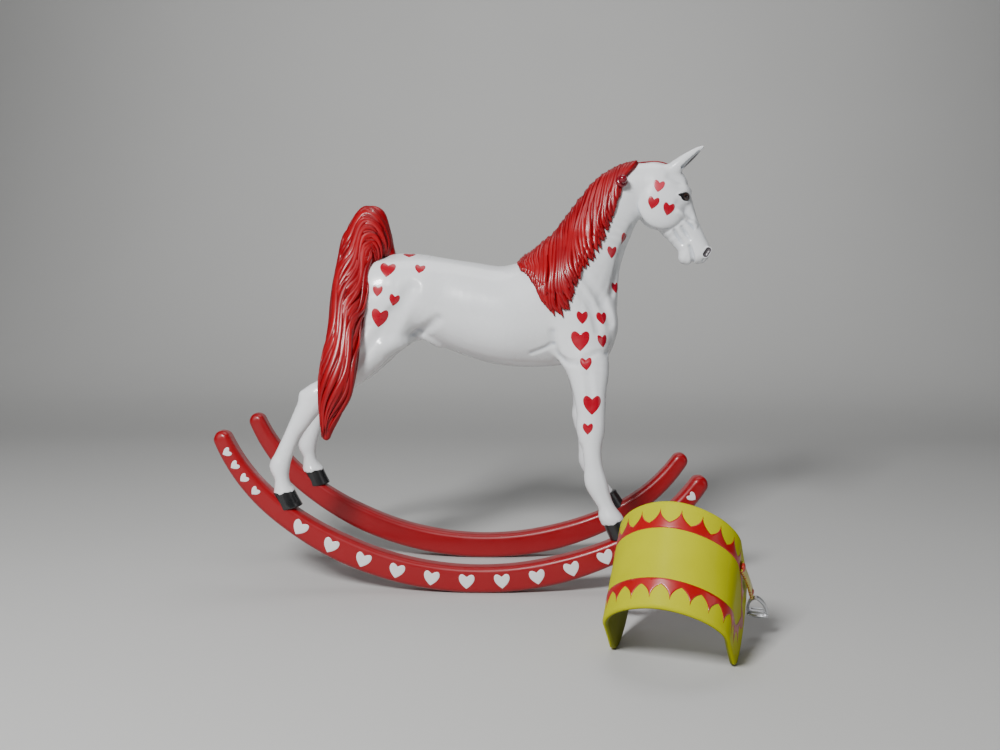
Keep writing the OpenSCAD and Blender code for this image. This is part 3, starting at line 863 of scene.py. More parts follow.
def along(points, t):
    """The point at share t of a polyline's length."""
    p = np.array(points, float)
    d = np.concatenate([[0], np.cumsum(np.linalg.norm(np.diff(p, axis=0), axis=1))])
    return np.array([np.interp(t * d[-1], d, p[:, i]) for i in range(p.shape[1])])


def top_z(field, x, level):
    """The height of the surface over the middle plane at x."""
    ax, ay, az = field.axes
    i = int(round((x - ax[0]) / field.voxel))
    j = int(round((0 - ay[0]) / field.voxel))
    column = field.d[i, j, :] - level
    k = np.nonzero(column < 0)[0][-1]
    return float(az[k] + field.voxel * column[k] / (column[k] - column[k + 1]))


def polygon_distance(field, outline):
    """Signed distance in the X-Z plane to an outline, spread over the whole grid."""
    x, _, z = field.grid()
    p = np.array(outline, float)
    x, z = x[:, 0], z[0]
    best = np.full((len(field.axes[0]), len(field.axes[2])), 1e9)
    sign = np.ones_like(best)
    for a, b in zip(p, np.roll(p, -1, axis=0)):
        e = b - a
        t = np.clip(((x - a[0]) * e[0] + (z - a[1]) * e[1]) / (e @ e), 0, 1)
        best = np.minimum(best, (x - a[0] - t * e[0]) ** 2 + (z - a[1] - t * e[1]) ** 2)
        crosses = (a[1] > z) != (b[1] > z)
        with np.errstate(divide="ignore", invalid="ignore"):
            at = a[0] + (z - a[1]) / (e[1] if e[1] else 1e-9) * e[0]
        sign = np.where(crosses & (x < at), -sign, sign)
    return (np.sqrt(best) * sign)[:, None, :]


MANE_LOCKS = 118
MANE_POINTS = 46


def mane_path(draft, root_x, tip, bulge, lift, wave, phase):
    """A lock's centreline: back along the crest, then down the neck's right side to its tip."""
    top = top_z(draft, root_x, lift)
    t = np.linspace(0, 1, MANE_POINTS) ** 1.15
    root = np.array((root_x, top - 0.05))
    run = tip - root
    length = np.linalg.norm(run)
    crest = np.array((-3.0, top_z(draft, root_x - 3, lift) - top))
    middle = (root + tip) / 2
    lean = crest / np.linalg.norm(crest) * 0.3 + run / length * 0.1
    middle = middle + lean * length * bulge
    line = (1 - t)[:, None] ** 2 * root + (2 * t * (1 - t))[:, None] * middle + (t**2)[:, None] * tip
    side = np.array((-run[1], run[0])) / length
    sway = wave * np.sin(2 * np.pi * (1.2 * t + phase)) * np.sin(np.pi * t) ** 0.8
    line = line + sway[:, None] * side
    path = [(root_x, 2.4, top - 0.3)]
    for x, z in line:
        y = draft.skin_y(x, z, RIGHT, lift)
        path.append((x, 0.0 if y is None else min(y, 0.0), z))
    return smoothed(np.array(path), 4)


def make_mane(horse):
    draft = horse.draft
    mass = horse.replay((12, -34, 156), (104, 10, 266), HAIR_VOXEL)
    mass.d -= 1.1
    mass.keep(polygon_distance(mass, MANE_OUTLINE) + 2.2)
    mass.keep(mass.grid()[1] - 3.2)
    body_points, body_faces = mass.mesh()
    locks = []
    pick = rng(5)
    for n in range(MANE_LOCKS):
        layer = n % 3
        u = np.clip((n + pick.uniform(-0.4, 0.4)) / (MANE_LOCKS - 1), 0, 1)
        root_x = CREST[0] + u * (CREST[1] - CREST[0])
        share = u**1.15
        tip = along(MANE_TIPS, share)
        top = np.array((root_x, top_z(draft, root_x, 0)))
        reach = (1.0, 0.95, 0.8)[layer] + pick.uniform(-0.03, 0.02)
        tip = top + (tip - top) * (reach if u < 0.93 else 1.0)
        bulge = min(1.0, 2.2 * u) * pick.uniform(0.7, 1.1)
        lift = (0.9, 1.4, 1.8)[layer]
        phase = 2.2 * u + pick.uniform(-0.12, 0.12)
        path = mane_path(draft, root_x, tip, bulge, lift, pick.uniform(0.5, 1.1), phase)
        t = np.linspace(0, 1, len(path))
        shape = np.minimum(1, 0.5 + 3 * t) * (1 - smoothstep(t, 0.86, 1.03) * 0.8)
        width = pick.uniform(1.3, 2.1) * shape
        thick = pick.uniform(0.8, 1.15) * shape
        out = np.zeros_like(path)
        out[:, 1] = -1.0
        out[:, 2] = np.where(path[:, 1] > -4, 0.9, 0.1)
        locks.append(lock(path, out, width, thick))
    make_hair("mane_locks", locks, body_points, body_faces, "hair_red", "mane")


TAIL_OUTER = [
    (-57, 199.5), (-55.5, 208), (-58.4, 218.4), (-64.6, 227.6), (-72, 229.6), (-79, 225), (-83.6, 213),
    (-85.6, 199), (-87.2, 183), (-88, 166), (-89.6, 149), (-91.6, 132), (-92.6, 117), (-92.2, 105),
    (-91, 94)]
TAIL_INNER = [
    (-62.6, 196), (-63.6, 199.5), (-64.6, 202), (-65.6, 202), (-66, 198.6), (-65.8, 192), (-66.6, 183),
    (-68.4, 172), (-70.2, 160), (-70.6, 147), (-71.6, 134.5), (-73.4, 122), (-76.6, 110.5), (-81, 100),
    (-86, 93)]
TAIL_LOCKS = 84
TAIL_POINTS = 40


def curve_at(points, t):
    """Smooth curve through points at shares t of its length."""
    dense = refined([(x, 0, z, 1, 1, 1) for x, z in points], 6)[:, [0, 2]]
    share = np.linspace(0, 1, len(dense))
    return np.stack([np.interp(t, share, dense[:, i]) for i in range(2)], 1)


def tail_lock(field, side, place, begin, end, pick):
    """A lock that rises from the dock, turns over the top and falls in long waves."""
    t = np.linspace(begin, end, TAIL_POINTS)
    s = np.linspace(0, 1, TAIL_POINTS)
    across = place + 0.5 * (s - 0.45) * smoothstep(t, 0.3, 0.5)
    wave = pick.uniform(0.07, 0.15)
    phase = 0.5 * place + pick.uniform(-0.08, 0.08)
    across = across + wave * np.sin(2 * np.pi * (3.4 * t + phase)) * smoothstep(t, 0.22, 0.4)
    across = np.clip(across, 0.0, 1.0)
    inner, outer = curve_at(TAIL_INNER, t), curve_at(TAIL_OUTER, t)
    middle = (inner + outer) / 2
    flat = middle + (outer - inner) * (across[:, None] - 0.5) * 1.06
    path, last = [], None
    lift = pick.uniform(-0.3, 1.3)
    for edge_point, mid_point in zip(flat, middle):
        for pull in (0, 0.1, 0.2, 0.35, 0.5, 0.75, 1):
            x, z = edge_point + (mid_point - edge_point) * pull
            y = field.skin_y(x, z, side, lift)
            if y is not None:
                break
        last = y if y is not None else last
        path.append((x, last if last is not None else 0.0, z))
    path = smoothed(np.array(path), 4)
    edge = outer - inner
    edge /= np.linalg.norm(edge, axis=1)[:, None] + 1e-6
    bend = 2 * across - 1
    out = np.stack([edge[:, 0] * bend, side * np.sqrt(1 - bend**2), edge[:, 1] * bend], 1)
    shape = np.clip(np.sin(np.pi * np.clip(s * 0.95 + 0.03, 0, 1)), 0, 1) ** 0.5
    shape *= 1 - 0.5 * smoothstep(s, 0.6, 1)
    close = 1 - 0.45 * smoothstep(t, 0.75, 1)
    width = pick.uniform(1.8, 2.8) * shape * close + 0.08
    thick = pick.uniform(1.0, 1.5) * shape * close + 0.06
    return lock(path, out, width, thick)


def make_tail():
    chain = refined(TAIL, 8)
    mass = Field((-104, -56, 84), (-44, 16, 238), HAIR_VOXEL)
    inner = chain.copy()
    inner[:, 3:] -= 0.8
    mass.add(inner, 0.5)
    body_points, body_faces = mass.mesh()
    pick = rng(11)
    locks = []
    for side in (RIGHT, LEFT):
        for n in range(TAIL_LOCKS):
            layer = n % 4
            begin = max(0.0, (0.0, 0.16, 0.36, 0.52)[layer] + pick.uniform(-0.04, 0.06))
            end = min(begin + pick.uniform(0.42, 0.56), pick.uniform(0.96, 1.0))
            place = (n + pick.uniform(0, 1)) / TAIL_LOCKS
            locks.append(tail_lock(mass, side, place, begin, end, pick))
    make_hair("tail_locks", locks, body_points, body_faces, "hair_red", "tail")


FORELOCK_X = (93, 121)
FORELOCK_LOCKS, FORELOCK_POINTS = 14, 26
FORELOCK_HALF_W = 2.2


def make_forelock(horse):
    """Short locks that lie between the ears, from the poll to the forehead."""
    draft = horse.draft
    pick = rng(3)
    locks = []
    middle = (FORELOCK_LOCKS - 1) / 2
    for n in range(FORELOCK_LOCKS):
        offset = (n - middle) / middle * FORELOCK_HALF_W
        x0 = FORELOCK_X[0] + pick.uniform(0, 6)
        x1 = FORELOCK_X[1] - abs(offset) * 1.2 - pick.uniform(0, 2.5)
        xs = np.linspace(x0, x1, FORELOCK_POINTS)
        zs = np.array([top_z(draft, x, 0.0) for x in xs])
        path = smoothed(np.stack([xs, offset + 0.4 * np.sin(xs * 0.5 + n), zs], 1), 3)
        t = np.linspace(0, 1, FORELOCK_POINTS)
        shape = np.minimum(1, 0.4 + 3 * t) * (1 - 0.9 * smoothstep(t, 0.65, 1))
        up = np.tile((0.0, offset * 0.1, 1.0), (FORELOCK_POINTS, 1))
        locks.append(lock(path, up, 0.75 * shape, 0.5 * shape))
    points, faces = locks[0]
    make_hair("forelock_locks", locks[1:], points, faces, "hair_red", "forelock")


# Eyes, handles, hooves


def turned(profile, sides, place, axis):
    """A closed turned shape: (distance along the axis, radius) pairs round an axis."""
    axis = Vector(axis).normalized()
    e1 = axis.orthogonal().normalized()
    e2 = axis.cross(e1)
    place = Vector(place)
    points = [tuple(place + axis * profile[0][0])]
    for along_axis, radius in profile[1:-1]:
        for i in range(sides):
            a = 2 * math.pi * i / sides
            points.append(tuple(place + axis * along_axis + (e1 * math.cos(a) + e2 * math.sin(a)) * radius))
    points.append(tuple(place + axis * profile[-1][0]))
    return points, pointed_tube(len(profile) - 2, sides)


def make_eyes(horse):
    for side, word in SIDES:
        y = horse.draft.skin_y(EYE[0], EYE[1], side)
        centre = (EYE[0] - 0.3, y - side * 1.95, EYE[1])
        profile = [(EYE_R * math.cos(a), EYE_R * math.sin(a)) for a in np.linspace(0, np.pi, 22)]
        look = Vector((EYE_FORWARD, side, EYE_UP)).normalized()
        points, faces = turned(profile, 36, centre, look)
        piece = mesh_object(f"eyeball_{word}", points, faces)
        face_out(piece)
        offset = np.array(points) - np.array(centre)
        away = np.linalg.norm(np.cross(offset, np.array(look)), axis=1) / EYE_R
        attribute(piece, "radial", away)
        finish_piece(piece, EYE_GLOSS, HORSE, "eye_brown", f"eye_{word}")


HANDLE_AT = (84.5, 8.5, 242.5)
HANDLE_TURN = (math.radians(72), math.radians(12))


def handle_axis(side):
    x_turn, y_turn = HANDLE_TURN
    y, z = side * math.sin(x_turn), math.cos(x_turn)
    return Vector((z * math.sin(y_turn), y, z * math.cos(y_turn)))


def make_handles():
    """A turned knob: shank in the neck, flat collar, slim neck and a ball."""
    for side, word in SIDES:
        profile = [(-4, 0), (-4, 1.6), (2.6, 1.6), (2.8, 2.9), (3.1, 3.35), (3.7, 3.6), (4.7, 3.6),
                   (5.4, 3.3), (5.7, 2.7), (5.9, 2.2)]
        start = math.acos(-0.8)
        profile += [(8 + 2.7 * math.cos(a), 2.7 * math.sin(a)) for a in np.linspace(start, 0.12, 14)]
        profile.append((10.7, 0))
        place = (HANDLE_AT[0], side * HANDLE_AT[1], HANDLE_AT[2])
        points, faces = turned(profile, 40, place, handle_axis(side))
        piece = mesh_object(f"handle_{word}_turned", points, faces)
        face_out(piece)
        finish_piece(piece, HANDLE_RED, HORSE, "handle_red", f"handle_{word}")


HOOF_ROWS = [
    (0.0, 0.93, 0.0), (0.25, 0.985, 0.0), (0.8, 1.0, 0.05), (3.0, 0.975, 0.5), (5.5, 0.945, 1.0),
    (8.0, 0.92, 1.5), (9.8, 0.9, 1.8), (10.5, 0.9, 1.9), (11.0, 0.86, 2.0), (11.3, 0.78, 2.0)]
HOOF_LEN, HOOF_WIDE, CORONET = 7.2, 6.8, 10.4


# Each hoof's shift forward and up from its seat, and how far its toe is tipped up
HOOF_SHIFT = {
    (-1, RIGHT): (0.6, 2.2, 13), (-1, LEFT): (1.6, 0.4, 10),
    (1, RIGHT): (1.0, 3.6, 17), (1, LEFT): (3.5, 4.0, 19),
}


def hoof_frame(end, side):
    """Where a hoof stands: its sole's middle, tipped up at the toe."""
    x, _, z = rest_point(end * HOOF_X, 0, SEAT_Z)
    forward, up, pitch = HOOF_SHIFT[end, side]
    return Matrix.Translation((x + forward, 0, z + up)) @ Matrix.Rotation(math.radians(-pitch), 4, "Y")


def make_hooves():
    """Hooves lean back from toe to heel, with faint growth rings and a rounded coronet."""
    sides = 44
    for end, where in ENDS:
        for side, word in SIDES:
            frame_here = hoof_frame(end, side)
            points = []
            for height, size, back in HOOF_ROWS:
                for i in range(sides):
                    a = 2 * math.pi * i / sides
                    heel = 1 - 0.06 * max(-math.cos(a), 0) ** 3
                    ring = 1 + 0.006 * math.sin(height * 5.5)
                    x = HOOF_LEN * size * math.cos(a) * heel * ring - back
                    y = HOOF_WIDE * size * math.sin(a) * ring
                    points.append(tuple(frame_here @ Vector((x, side * ROCKER_Y + y, height))))
            faces = flat_tube(len(HOOF_ROWS), sides)
            piece = mesh_object(f"hoof_{where}_{word}_horn", points, faces)
            face_out(piece)
            finish_piece(piece, HOOF_BLACK, HORSE, "hoof_black", f"hoof_{where}_{word}")


# Rockers


def depth_at(angle):
    over = max(abs(angle) - TAPER_FROM, 0) / (HALF_ANGLE - TAPER_FROM)
    return ROCKER_DEPTH * (1 - TIP_TAPER * over)


def rail(angle):
    """Middle of the rocker at an angle from its lowest point, and its heading there."""
    over = max(abs(angle) - CURL_FROM, 0) / (HALF_ANGLE - CURL_FROM)
    r = MID_R - CURL * over**2
    turn = math.atan(2 * CURL * over / math.radians(HALF_ANGLE - CURL_FROM) / r)
    a = math.radians(angle)
    return (r * math.sin(a), ROCKER_R - r * math.cos(a)), a + math.copysign(turn, angle)


def rail_section(half_depth, half_width, corner, steps=8):
    """A rectangle with round corners: (outward, sideways) pairs."""
    out = []
    for sx, sy, start in ((1, 1, 0), (-1, 1, 90), (-1, -1, 180), (1, -1, 270)):
        for i in range(steps + 1):
            a = math.radians(start + 90 * i / steps)
            out.append((sx * (half_depth - corner) + corner * math.cos(a),
                        sy * (half_width - corner) + corner * math.sin(a)))
    return out


def rocker_stations():
    """Places along a rocker: middle, heading, half depth, half width and corner radius."""
    stations = []
    half = ROCKER_W / 2
    for angle in np.linspace(-HALF_ANGLE, HALF_ANGLE, 120):
        (x, z), heading = rail(angle)
        stations.append((x, z, heading, depth_at(angle) / 2, half, EDGE_ROUND))
    for end in (-1, 1):
        (x, z), heading = rail(end * HALF_ANGLE)
        r = depth_at(HALF_ANGLE) / 2
        cap = []
        for turn in np.radians((15, 30, 45, 58, 70, 80, 87)):
            run = end * r * math.sin(turn)
            wide = half - EDGE_ROUND * (1 - math.cos(turn))
            deep = r * math.cos(turn)
            cap.append((x + run * math.cos(heading), z + run * math.sin(heading), heading,
                        deep, wide, min(EDGE_ROUND, deep * 0.98)))
        stations = cap[::-1] + stations if end < 0 else stations + cap
    return stations


def make_rockers():
    """Each rocker is one bent rail with well rounded edges and round tips."""
    for side, word in SIDES:
        points = []
        stations = rocker_stations()
        for x, z, heading, deep, wide, corner in stations:
            for outward, across in rail_section(deep, wide, corner):
                px = x + outward * math.sin(heading)
                pz = z - outward * math.cos(heading)
                points.append(rest_point(px, side * ROCKER_Y + across, pz))
        piece = mesh_object(
            f"rocker_{word}_wood", points, flat_tube(len(stations), len(points) // len(stations)))
        face_out(piece)
        finish_piece(piece, ROCKER_RED, HORSE, "rocker_red", f"rocker_{word}")


def make_rocker_hearts():
    """White hearts along each rocker's outer face, large ones between the hooves."""
    rows = [((k - 4.5) * HEART_STEP, LARGE_HEART) for k in range(10)]
    rows += [(sign * a, SMALL_HEART) for a in SMALL_HEARTS for sign in (-1, 1)]
    lifts = (0.2, 0.19, 0.15, 0.06, -0.25)
    for side, word in SIDES:
        parts = []
        face_y = side * (ROCKER_Y + ROCKER_W / 2)
        for angle, width in rows:
            centre, a = rail(angle)
            points = []
            for ring, lift in [(0, lifts[0]), *zip(HEART_RINGS, lifts), (0, lifts[-1])]:
                for u, v in heart_outline(HEART_SIDES, width) * ring if ring else [(0, 0)]:
                    x = centre[0] + u * math.cos(a) - v * math.sin(a)
                    z = centre[1] + u * math.sin(a) + v * math.cos(a)
                    points.append(rest_point(x, face_y + side * lift, z))
            parts.append((points, pointed_tube(len(HEART_RINGS), HEART_SIDES)))
        piece = mesh_object(f"rocker_hearts_{word}", *joined(parts))
        face_out(piece)
        finish_piece(piece, HEART_WHITE, HORSE, "heart_white", f"hearts_{word}")


# Saddle, in its own frame: X across, Y forward, Z up

SADDLE_LEN, SADDLE_H, SADDLE_HALF_W, SADDLE_T = 51.8, 51.0, 30.6, 2.8
SADDLE_RISE, FLAP_DROP = 11.4, 15.4
SADDLE_TILT, SADDLE_TURN = math.radians(43), math.radians(-19.4)
WIDE_SHARE, FOOT_TUCK, ARCH_POWER, FLANK_SHARE = 0.5, -0.6, 1.83, 0.45
HALF_RUN = SADDLE_LEN / 2 * math.sin(SADDLE_TILT)
FOOT_SINK = math.hypot(HALF_RUN, FLAP_DROP * math.cos(SADDLE_TILT)) - HALF_RUN
SADDLE_PLACE = (
    Matrix.Translation((99.2, -143.8, FOOT_SINK))
    @ Matrix.Rotation(SADDLE_TURN, 4, "Z")
    @ Matrix.Rotation(SADDLE_TILT, 4, "X")
)


def foot_drop(u):
    """How far the flap's foot hangs below the rims at u along the saddle."""
    return FLAP_DROP * math.sqrt(max(4 * u * (1 - u), 0))


def arch_point_at(s, u):
    """Outer surface of the arch: s from foot to foot, u along the horse's back."""
    h = SADDLE_H + SADDLE_RISE * (u - 0.5)
    t = 1 - abs(2 * s - 1)
    sign = -1 if s < 0.5 else 1
    if t < WIDE_SHARE:
        down = 1 - t / WIDE_SHARE
        x = SADDLE_HALF_W - FOOT_TUCK * down**2
        return np.array((sign * x, h * FLANK_SHARE * t / WIDE_SHARE - foot_drop(u) * down))
    turn = math.pi / 2 * (t - WIDE_SHARE) / (1 - WIDE_SHARE)
    power = 2 / ARCH_POWER
    x = SADDLE_HALF_W * max(math.cos(turn), 0) ** power
    return np.array((sign * x, h * (FLANK_SHARE + (1 - FLANK_SHARE) * math.sin(turn) ** power)))


def saddle_surface(s, u, inset):
    """A point of the shell in the saddle's frame, inset mm inwards from its outer face."""
    a, b = arch_point_at(max(s - 0.01, 0), u), arch_point_at(min(s + 0.01, 1), u)
    d = (b - a) / np.linalg.norm(b - a)
    p = arch_point_at(s, u) - inset * np.array((-d[1], d[0]))
    return np.array((p[0], u * SADDLE_LEN, p[1]))


def placed(points):
    return [tuple(SADDLE_PLACE @ Vector(p)) for p in points]


SADDLE_ROWS, SADDLE_COLS = 44, 120
RIM_STEPS = 6


def shell_section():
    """Round the shell's section from rim to rim and back: (u, inset) pairs."""
    half, round_u = SADDLE_T / 2, SADDLE_T / 2 / SADDLE_LEN
    along_back = np.linspace(round_u, 1 - round_u, SADDLE_ROWS)
    turns = [math.pi * i / RIM_STEPS for i in range(1, RIM_STEPS)]
    front = [(1 - round_u + round_u * math.sin(a), half - half * math.cos(a)) for a in turns]
    rear = [(round_u - round_u * math.sin(a), half + half * math.cos(a)) for a in turns]
    return [(u, 0.0) for u in along_back] + front + [(u, SADDLE_T) for u in along_back[::-1]] + rear


def make_saddle():
    """The shell, with a rounded rim all round and rounded feet."""
    half = SADDLE_T / 2
    loop = shell_section()
    foot = [(0.0, math.sin(a), math.cos(a)) for a in np.linspace(math.pi / 2 * 0.96, 0, 5)]
    stations = foot + [(s, 0, 1) for s in np.linspace(0, 1, SADDLE_COLS)[1:-1]]
    stations += [(1.0, beyond, thin) for _, beyond, thin in reversed(foot)]
    points, inner = [], []
    for s, beyond, thin in stations:
        for u, inset in loop:
            base = saddle_surface(s, u, half + (inset - half) * thin)
            if s in (0.0, 1.0):
                base[2] -= 0.9 * (beyond - 1) * half
            points.append(base)
            inner.append(inset / SADDLE_T)
    n = len(loop)
    faces = tube_faces(len(stations), n)
    for first in (0, (len(stations) - 1) * n):
        for i in range(-RIM_STEPS // 2, SADDLE_ROWS + RIM_STEPS // 2 - 1):
            across = 2 * SADDLE_ROWS + RIM_STEPS - 2 - i
            corners = (i % n, (i + 1) % n, (across - 1) % n, across % n)
            faces.append(tuple(first + c for c in dict.fromkeys(corners)))
    piece = mesh_object("saddle_shell_painted", placed(points), faces)
    # The inner attribute marks the inner face, which the saddle material darkens as painted shade.
    attribute(piece, "inner", inner)
    face_out(piece)
    return finish_piece(piece, YELLOW, SADDLE, "saddle_yellow", "saddle_shell")


PETAL_PITCH = 10.2
BAND_INNER, PETAL_REACH, SPIKE_REACH = 13.8, 2.8, 9.6
BAND_TURN, BAND_END = 14.0, -2.0
PETAL_STEPS, BAND_ROWS = 40, 6
HEIGHT_ROWS = 50


def arch_heights(u):
    """Share t and height along the shell above the feet, from the flank to the top."""
    t = np.linspace(WIDE_SHARE, 1, 80)
    p = np.array([arch_point_at(k / 2, u) for k in t])
    run = np.concatenate([[0], np.cumsum(np.linalg.norm(np.diff(p, axis=0), axis=1))])
    return t, p[0, 1] + run


def on_shell(from_top, side, u, lift, heights):
    """The point of the shell at a length from its top, on one side, at u along it."""
    t, run = heights[int(round(u * HEIGHT_ROWS))]
    middle_run = heights[HEIGHT_ROWS // 2][1]
    upper = middle_run[-1] - middle_run[0]
    if from_top < upper:
        height = run[-1] - from_top * (run[-1] - run[0]) / upper
    else:
        height = run[0] - (from_top - upper) * run[0] / middle_run[0]
    if height < run[0]:
        drop = foot_drop(u)
        share = WIDE_SHARE * (height + drop) / (run[0] + drop)
    else:
        share = float(np.interp(height, run, t))
    s = share / 2
    return saddle_surface(s if side < 0 else 1 - s, u, -lift)


def band_line():
    """The band's smooth inner edge laid flat: (along the arch, along the horse's back)."""
    top = arch_heights(0.5)[1][-1]
    half = SADDLE_LEN / 2 - BAND_INNER
    quarter = [(x, -half) for x in np.linspace(0, top - BAND_TURN, 60)]
    reach = BAND_TURN - BAND_END
    for k in np.linspace(0, 1, 40)[1:]:
        quarter.append((top - BAND_TURN + reach * k, -half * (1 - k**1.7)))
    back = [(x, -y) for x, y in quarter[-2::-1]]
    right = quarter + back
    left = [(-x, y) for x, y in right[::-1]][1:-1]
    return np.array(right + left)


def petal_edge(x):
    """How far the red reaches to the rim: least at a yellow petal's tip, most at a spike."""
    x = min(abs(x), 1.0)
    share = 0.38 * x + 0.62 * (1 - math.sqrt(max(1 - x**2.6, 0)))
    return PETAL_REACH + (SPIKE_REACH - PETAL_REACH) * share


def make_bands():
    """The red band painted round the saddle, with yellow petals between its thin spikes."""
    line = band_line()
    loop = np.vstack([line, line[:1]])
    run = np.concatenate([[0], np.cumsum(np.linalg.norm(np.diff(loop, axis=0), axis=1))])
    petals = 2 * round(run[-1] / PETAL_PITCH / 2)
    m = petals * PETAL_STEPS
    d = np.arange(m) / m * run[-1]
    path = np.stack([np.interp(d, run, loop[:, i]) for i in range(2)], 1)
    tangent = np.roll(path, -3, axis=0) - np.roll(path, 3, axis=0)
    tangent /= np.linalg.norm(tangent, axis=1)[:, None]
    outward = np.stack([tangent[:, 1], -tangent[:, 0]], 1)
    heights = [arch_heights(k / HEIGHT_ROWS) for k in range(HEIGHT_ROWS + 1)]
    points = []
    for i in range(m):
        reach = petal_edge(1 - 2 * abs(i / PETAL_STEPS % 1 - 0.5))
        ring = [(-0.03, -0.3), (0, 0.1)] + [(reach * k / BAND_ROWS, 0.13) for k in range(1, BAND_ROWS)]
        for distance, lift in ring + [(reach, 0.1), (reach + 0.03, -0.3)]:
            a, b = path[i] + outward[i] * distance
            u = np.clip(b / SADDLE_LEN + 0.5, 0.02, 0.98)
            points.append(tuple(on_shell(abs(a), 1 if a > 0 else -1, u, lift, heights)))
    n = BAND_ROWS + 3
    faces = [tuple(v % (m * n) for v in face) for face in tube_faces(m + 1, n)]
    piece = mesh_object("saddle_red_band", placed(points), faces)
    face_out(piece)
    finish_piece(piece, BAND_RED, SADDLE, "rocker_red")


# Straps and stirrups; the saddle lies with its right side to +X
SADDLE_SIDES = ((1, "right"), (-1, "left"))
STRAP_U = 41.0
STRAP_TOP, STRAP_LOW = (31.0, 20.5), (34.2, -6.5)
IRON_X, IRON_W, IRON_H = 36.0, 11.0, 17.0


def strip(path, across, width, thick, rounding=4):
    """A strap with rounded edges swept along a path; across is its width direction."""
    path = np.array(path, float)
    across = np.array(across, float) / np.linalg.norm(across)
    tangent = np.gradient(path, axis=0)
    out = np.cross(tangent, across)
    out /= np.linalg.norm(out, axis=1)[:, None]
    section = []
    for centre, start in ((1, -90), (-1, 90)):
        for i in range(rounding + 1):
            a = math.radians(start + 180 * i / rounding)
            section.append((centre, math.cos(a), math.sin(a)))
    points = []
    for p, o, w, t in zip(path, out, width, thick):
        for centre, c, s in section:
            points.append(p + across * (centre * (w - t) + t * c) + o * t * s)
    return points, flat_tube(len(path), len(section))


STRAP_STEPS = 25
RIVETS = ((0.04, 2.3), (0.9, 1.7))


def rivet(centre, out, size):
    """A low domed head of radius size, its rim a little sunk in the strap."""
    high = 0.45 * size
    dome = [(high * math.sin(a), size * math.cos(a)) for a in np.linspace(0.15, 1.45, 8)]
    return turned([(-0.8, 0), (-0.8, size * 0.9), (0, size), *dome, (high, 0)], 28, centre, out)


def make_straps():
    for side, word in SADDLE_SIDES:
        top = Vector((side * STRAP_TOP[0], STRAP_U, STRAP_TOP[1]))
        low = Vector((side * STRAP_LOW[0], STRAP_U, STRAP_LOW[1]))
        path, width, thick = [], [], []
        for i in range(STRAP_STEPS + 1):
            t = i / STRAP_STEPS
            p = top.lerp(low, t)
            p.x += side * (0.45 * math.sin(math.pi * t) ** 2 + 0.25)
            path.append(p)
            width.append(2.2 + 0.8 * math.cos(math.pi * t) ** 2 * (1 - 0.35 * t))
            thick.append(0.75 + 0.25 * math.sin(math.pi * t))
        body = strip(path, (0, 1, 0), width, thick)
        out = Vector((side, 0, 0.12)).normalized()
        heads = [rivet(path[int(t * STRAP_STEPS)] + out * 0.7, out, size) for t, size in RIVETS]
        points, faces = joined([body] + heads)
        red = [1.0] * len(points)
        for i, p in enumerate(body[0]):
            edge = abs(p[1] - STRAP_U) / 2.6
            red[i] = 1.0 if edge > 0.82 and (i // 10) % 2 else 0.0
        piece = mesh_object(f"strap_{word}_painted", placed(points), faces)
        face_out(piece)
        attribute(piece, "red", red)
        finish_piece(piece, STRAP, SADDLE, "strap_gold", f"strap_{word}")


def make_stirrups():
    """A cast iron: arch with a flat tread that has raised ribs."""
    for side, word in SADDLE_SIDES:
        base = Vector((side * IRON_X, STRAP_U, STRAP_LOW[1] - 1.2 - IRON_H))
        half, high = IRON_W / 2 - 0.8, IRON_H - 0.9
        arch_path = []
        for a in np.linspace(0, math.pi, 61):
            x = half * math.cos(a) * (1 - 0.25 * math.sin(a) ** 3)
            arch_path.append(base + Vector((x, 0, 0.9 + (high - 0.9) * abs(math.sin(a)) ** 0.8)))
        arch = strip(arch_path, (0, 1, 0), [1.2] * 61, [0.75] * 61)
        tread_half = IRON_W / 2 - 0.2
        tread_path = [base + Vector((x, 0, 0.85)) for x in np.linspace(-tread_half, tread_half, 14)]
        wide = [2.2 + 0.8 * math.sin(math.pi * i / 13) for i in range(14)]
        parts = [arch, strip(tread_path, (0, 1, 0), wide, [0.75] * 14)]
        for y in (-1.6, 0, 1.6):
            rib = [base + Vector((x, y, 1.5)) for x in np.linspace(-3.6, 3.6, 8)]
            parts.append(strip(rib, (0, 1, 0), [0.42] * 8, [0.3] * 8))
        points, faces = joined(parts)
        piece = mesh_object(f"stirrup_{word}_iron", placed(points), faces)
        face_out(piece)
        finish_piece(piece, SILVER, SADDLE, "stirrup_silver", f"stirrup_{word}")


# Stage, light and camera


FLOOR_BEND = 900


def make_stage():
    """A plain pale floor that sweeps up far behind the toy."""
    m = Nodes("pale_floor")
    m.set(Base_Color=m.mix(m.noise(3, 2), (0.56, 0.56, 0.55), (0.53, 0.53, 0.52)), Roughness=0.75)
    bend = FLOOR_BEND
    profile = [(-3000, 0), (bend, 0)]
    profile += [(bend + bend * math.sin(a), bend - bend * math.cos(a)) for a in np.linspace(0.1, 1.57, 16)]
    profile.append((2 * bend, 3200))
    points = [(x, y, z) for x in (-4000, 4000) for y, z in profile]
    n = len(profile)
    faces = [(i, i + n, i + 1 + n, i + 1) for i in range(n - 1)]
    floor = mesh_object("studio_floor", points, faces)
    floor.data.materials.append(m.material)


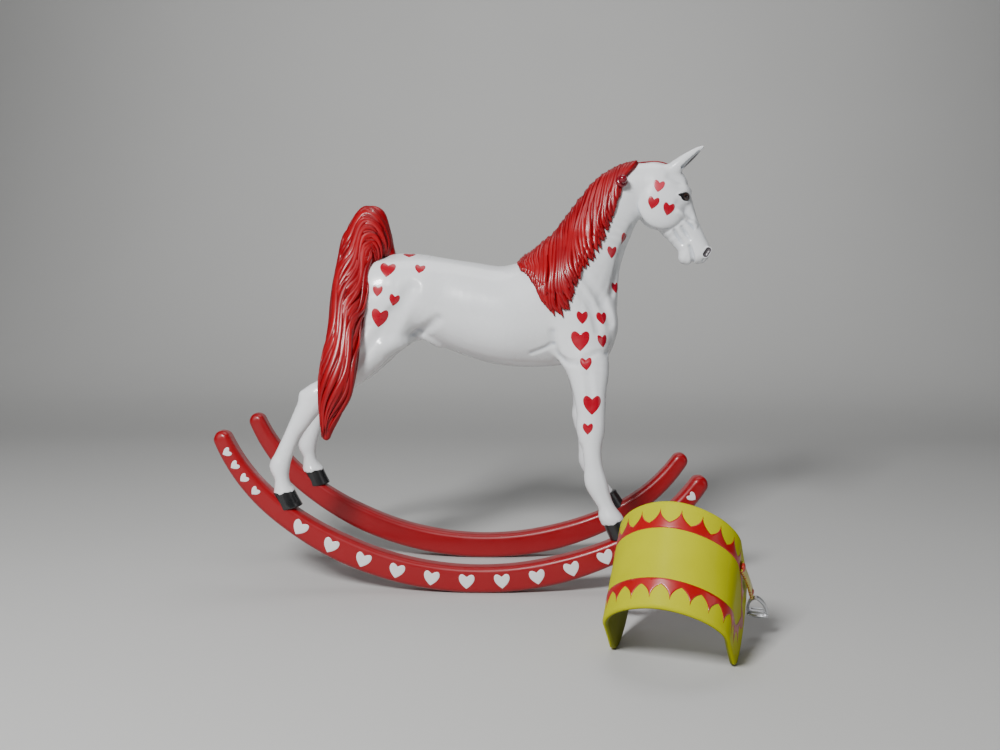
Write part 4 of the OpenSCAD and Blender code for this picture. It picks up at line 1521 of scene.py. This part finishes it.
def area_light(name, place, target, size, power, colour=(1, 1, 1)):
    data = bpy.data.lights.new(name, "AREA")
    data.shape = "RECTANGLE"
    data.size, data.size_y = size
    data.energy = power
    data.color = colour
    obj = bpy.data.objects.new(name, data)
    obj.location = place
    obj.rotation_euler = (Vector(target) - Vector(place)).to_track_quat("-Z", "Y").to_euler()
    bpy.context.scene.collection.objects.link(obj)


CAMERA_AT = (0.030, -0.620, 0.187)
YAW, PITCH = math.radians(-1.7), math.radians(5.6)


def make_light_and_camera():
    area_light("key", (-0.35, -0.85, 0.75), (0, 0, 0.13), (0.22, 0.22), 15.5)
    area_light("top", (0.1, 0.15, 1.1), (0, 0, 0.1), (0.6, 0.6), 2.5)
    area_light("fill", (1.1, -0.6, 0.35), (0, 0, 0.12), (0.5, 0.5), 1.0)
    area_light("backdrop", (0, 0.9, 0.9), (0, 1.9, 0.5), (2.0, 0.5), 8.0)
    world = bpy.data.worlds.new("studio")
    world.use_nodes = True
    world.node_tree.nodes["Background"].inputs["Color"].default_value = (0.93, 0.95, 1, 1)
    world.node_tree.nodes["Background"].inputs["Strength"].default_value = 0.06
    bpy.context.scene.world = world
    data = bpy.data.cameras.new("camera")
    data.sensor_width = 36
    data.lens = 36
    data.clip_start = 0.01
    camera = bpy.data.objects.new("camera", data)
    forward = Vector(
        (math.sin(YAW) * math.cos(PITCH), math.cos(YAW) * math.cos(PITCH), -math.sin(PITCH))
    )
    camera.location = CAMERA_AT
    camera.rotation_euler = forward.to_track_quat("-Z", "Y").to_euler()
    bpy.context.scene.collection.objects.link(camera)
    bpy.context.scene.camera = camera


def world_tree(obj):
    """A search tree of a piece's mesh in mm."""
    points = [Vector(v.co) / MM for v in obj.data.vertices]
    return BVHTree.FromPolygons(points, [tuple(p.vertices) for p in obj.data.polygons])


horse = sculpt_horse()
skins = make_horse(horse)
make_body_hearts([world_tree(s) for s in skins])
make_mane(horse)
make_tail()
make_forelock(horse)
make_eyes(horse)
make_handles()
make_hooves()
make_rockers()
make_rocker_hearts()
make_saddle()
make_bands()
make_straps()
make_stirrups()
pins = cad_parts["hoof_pins"].data
pins.materials.clear()
pins.materials.append(STEEL)
make_stage()
make_light_and_camera()
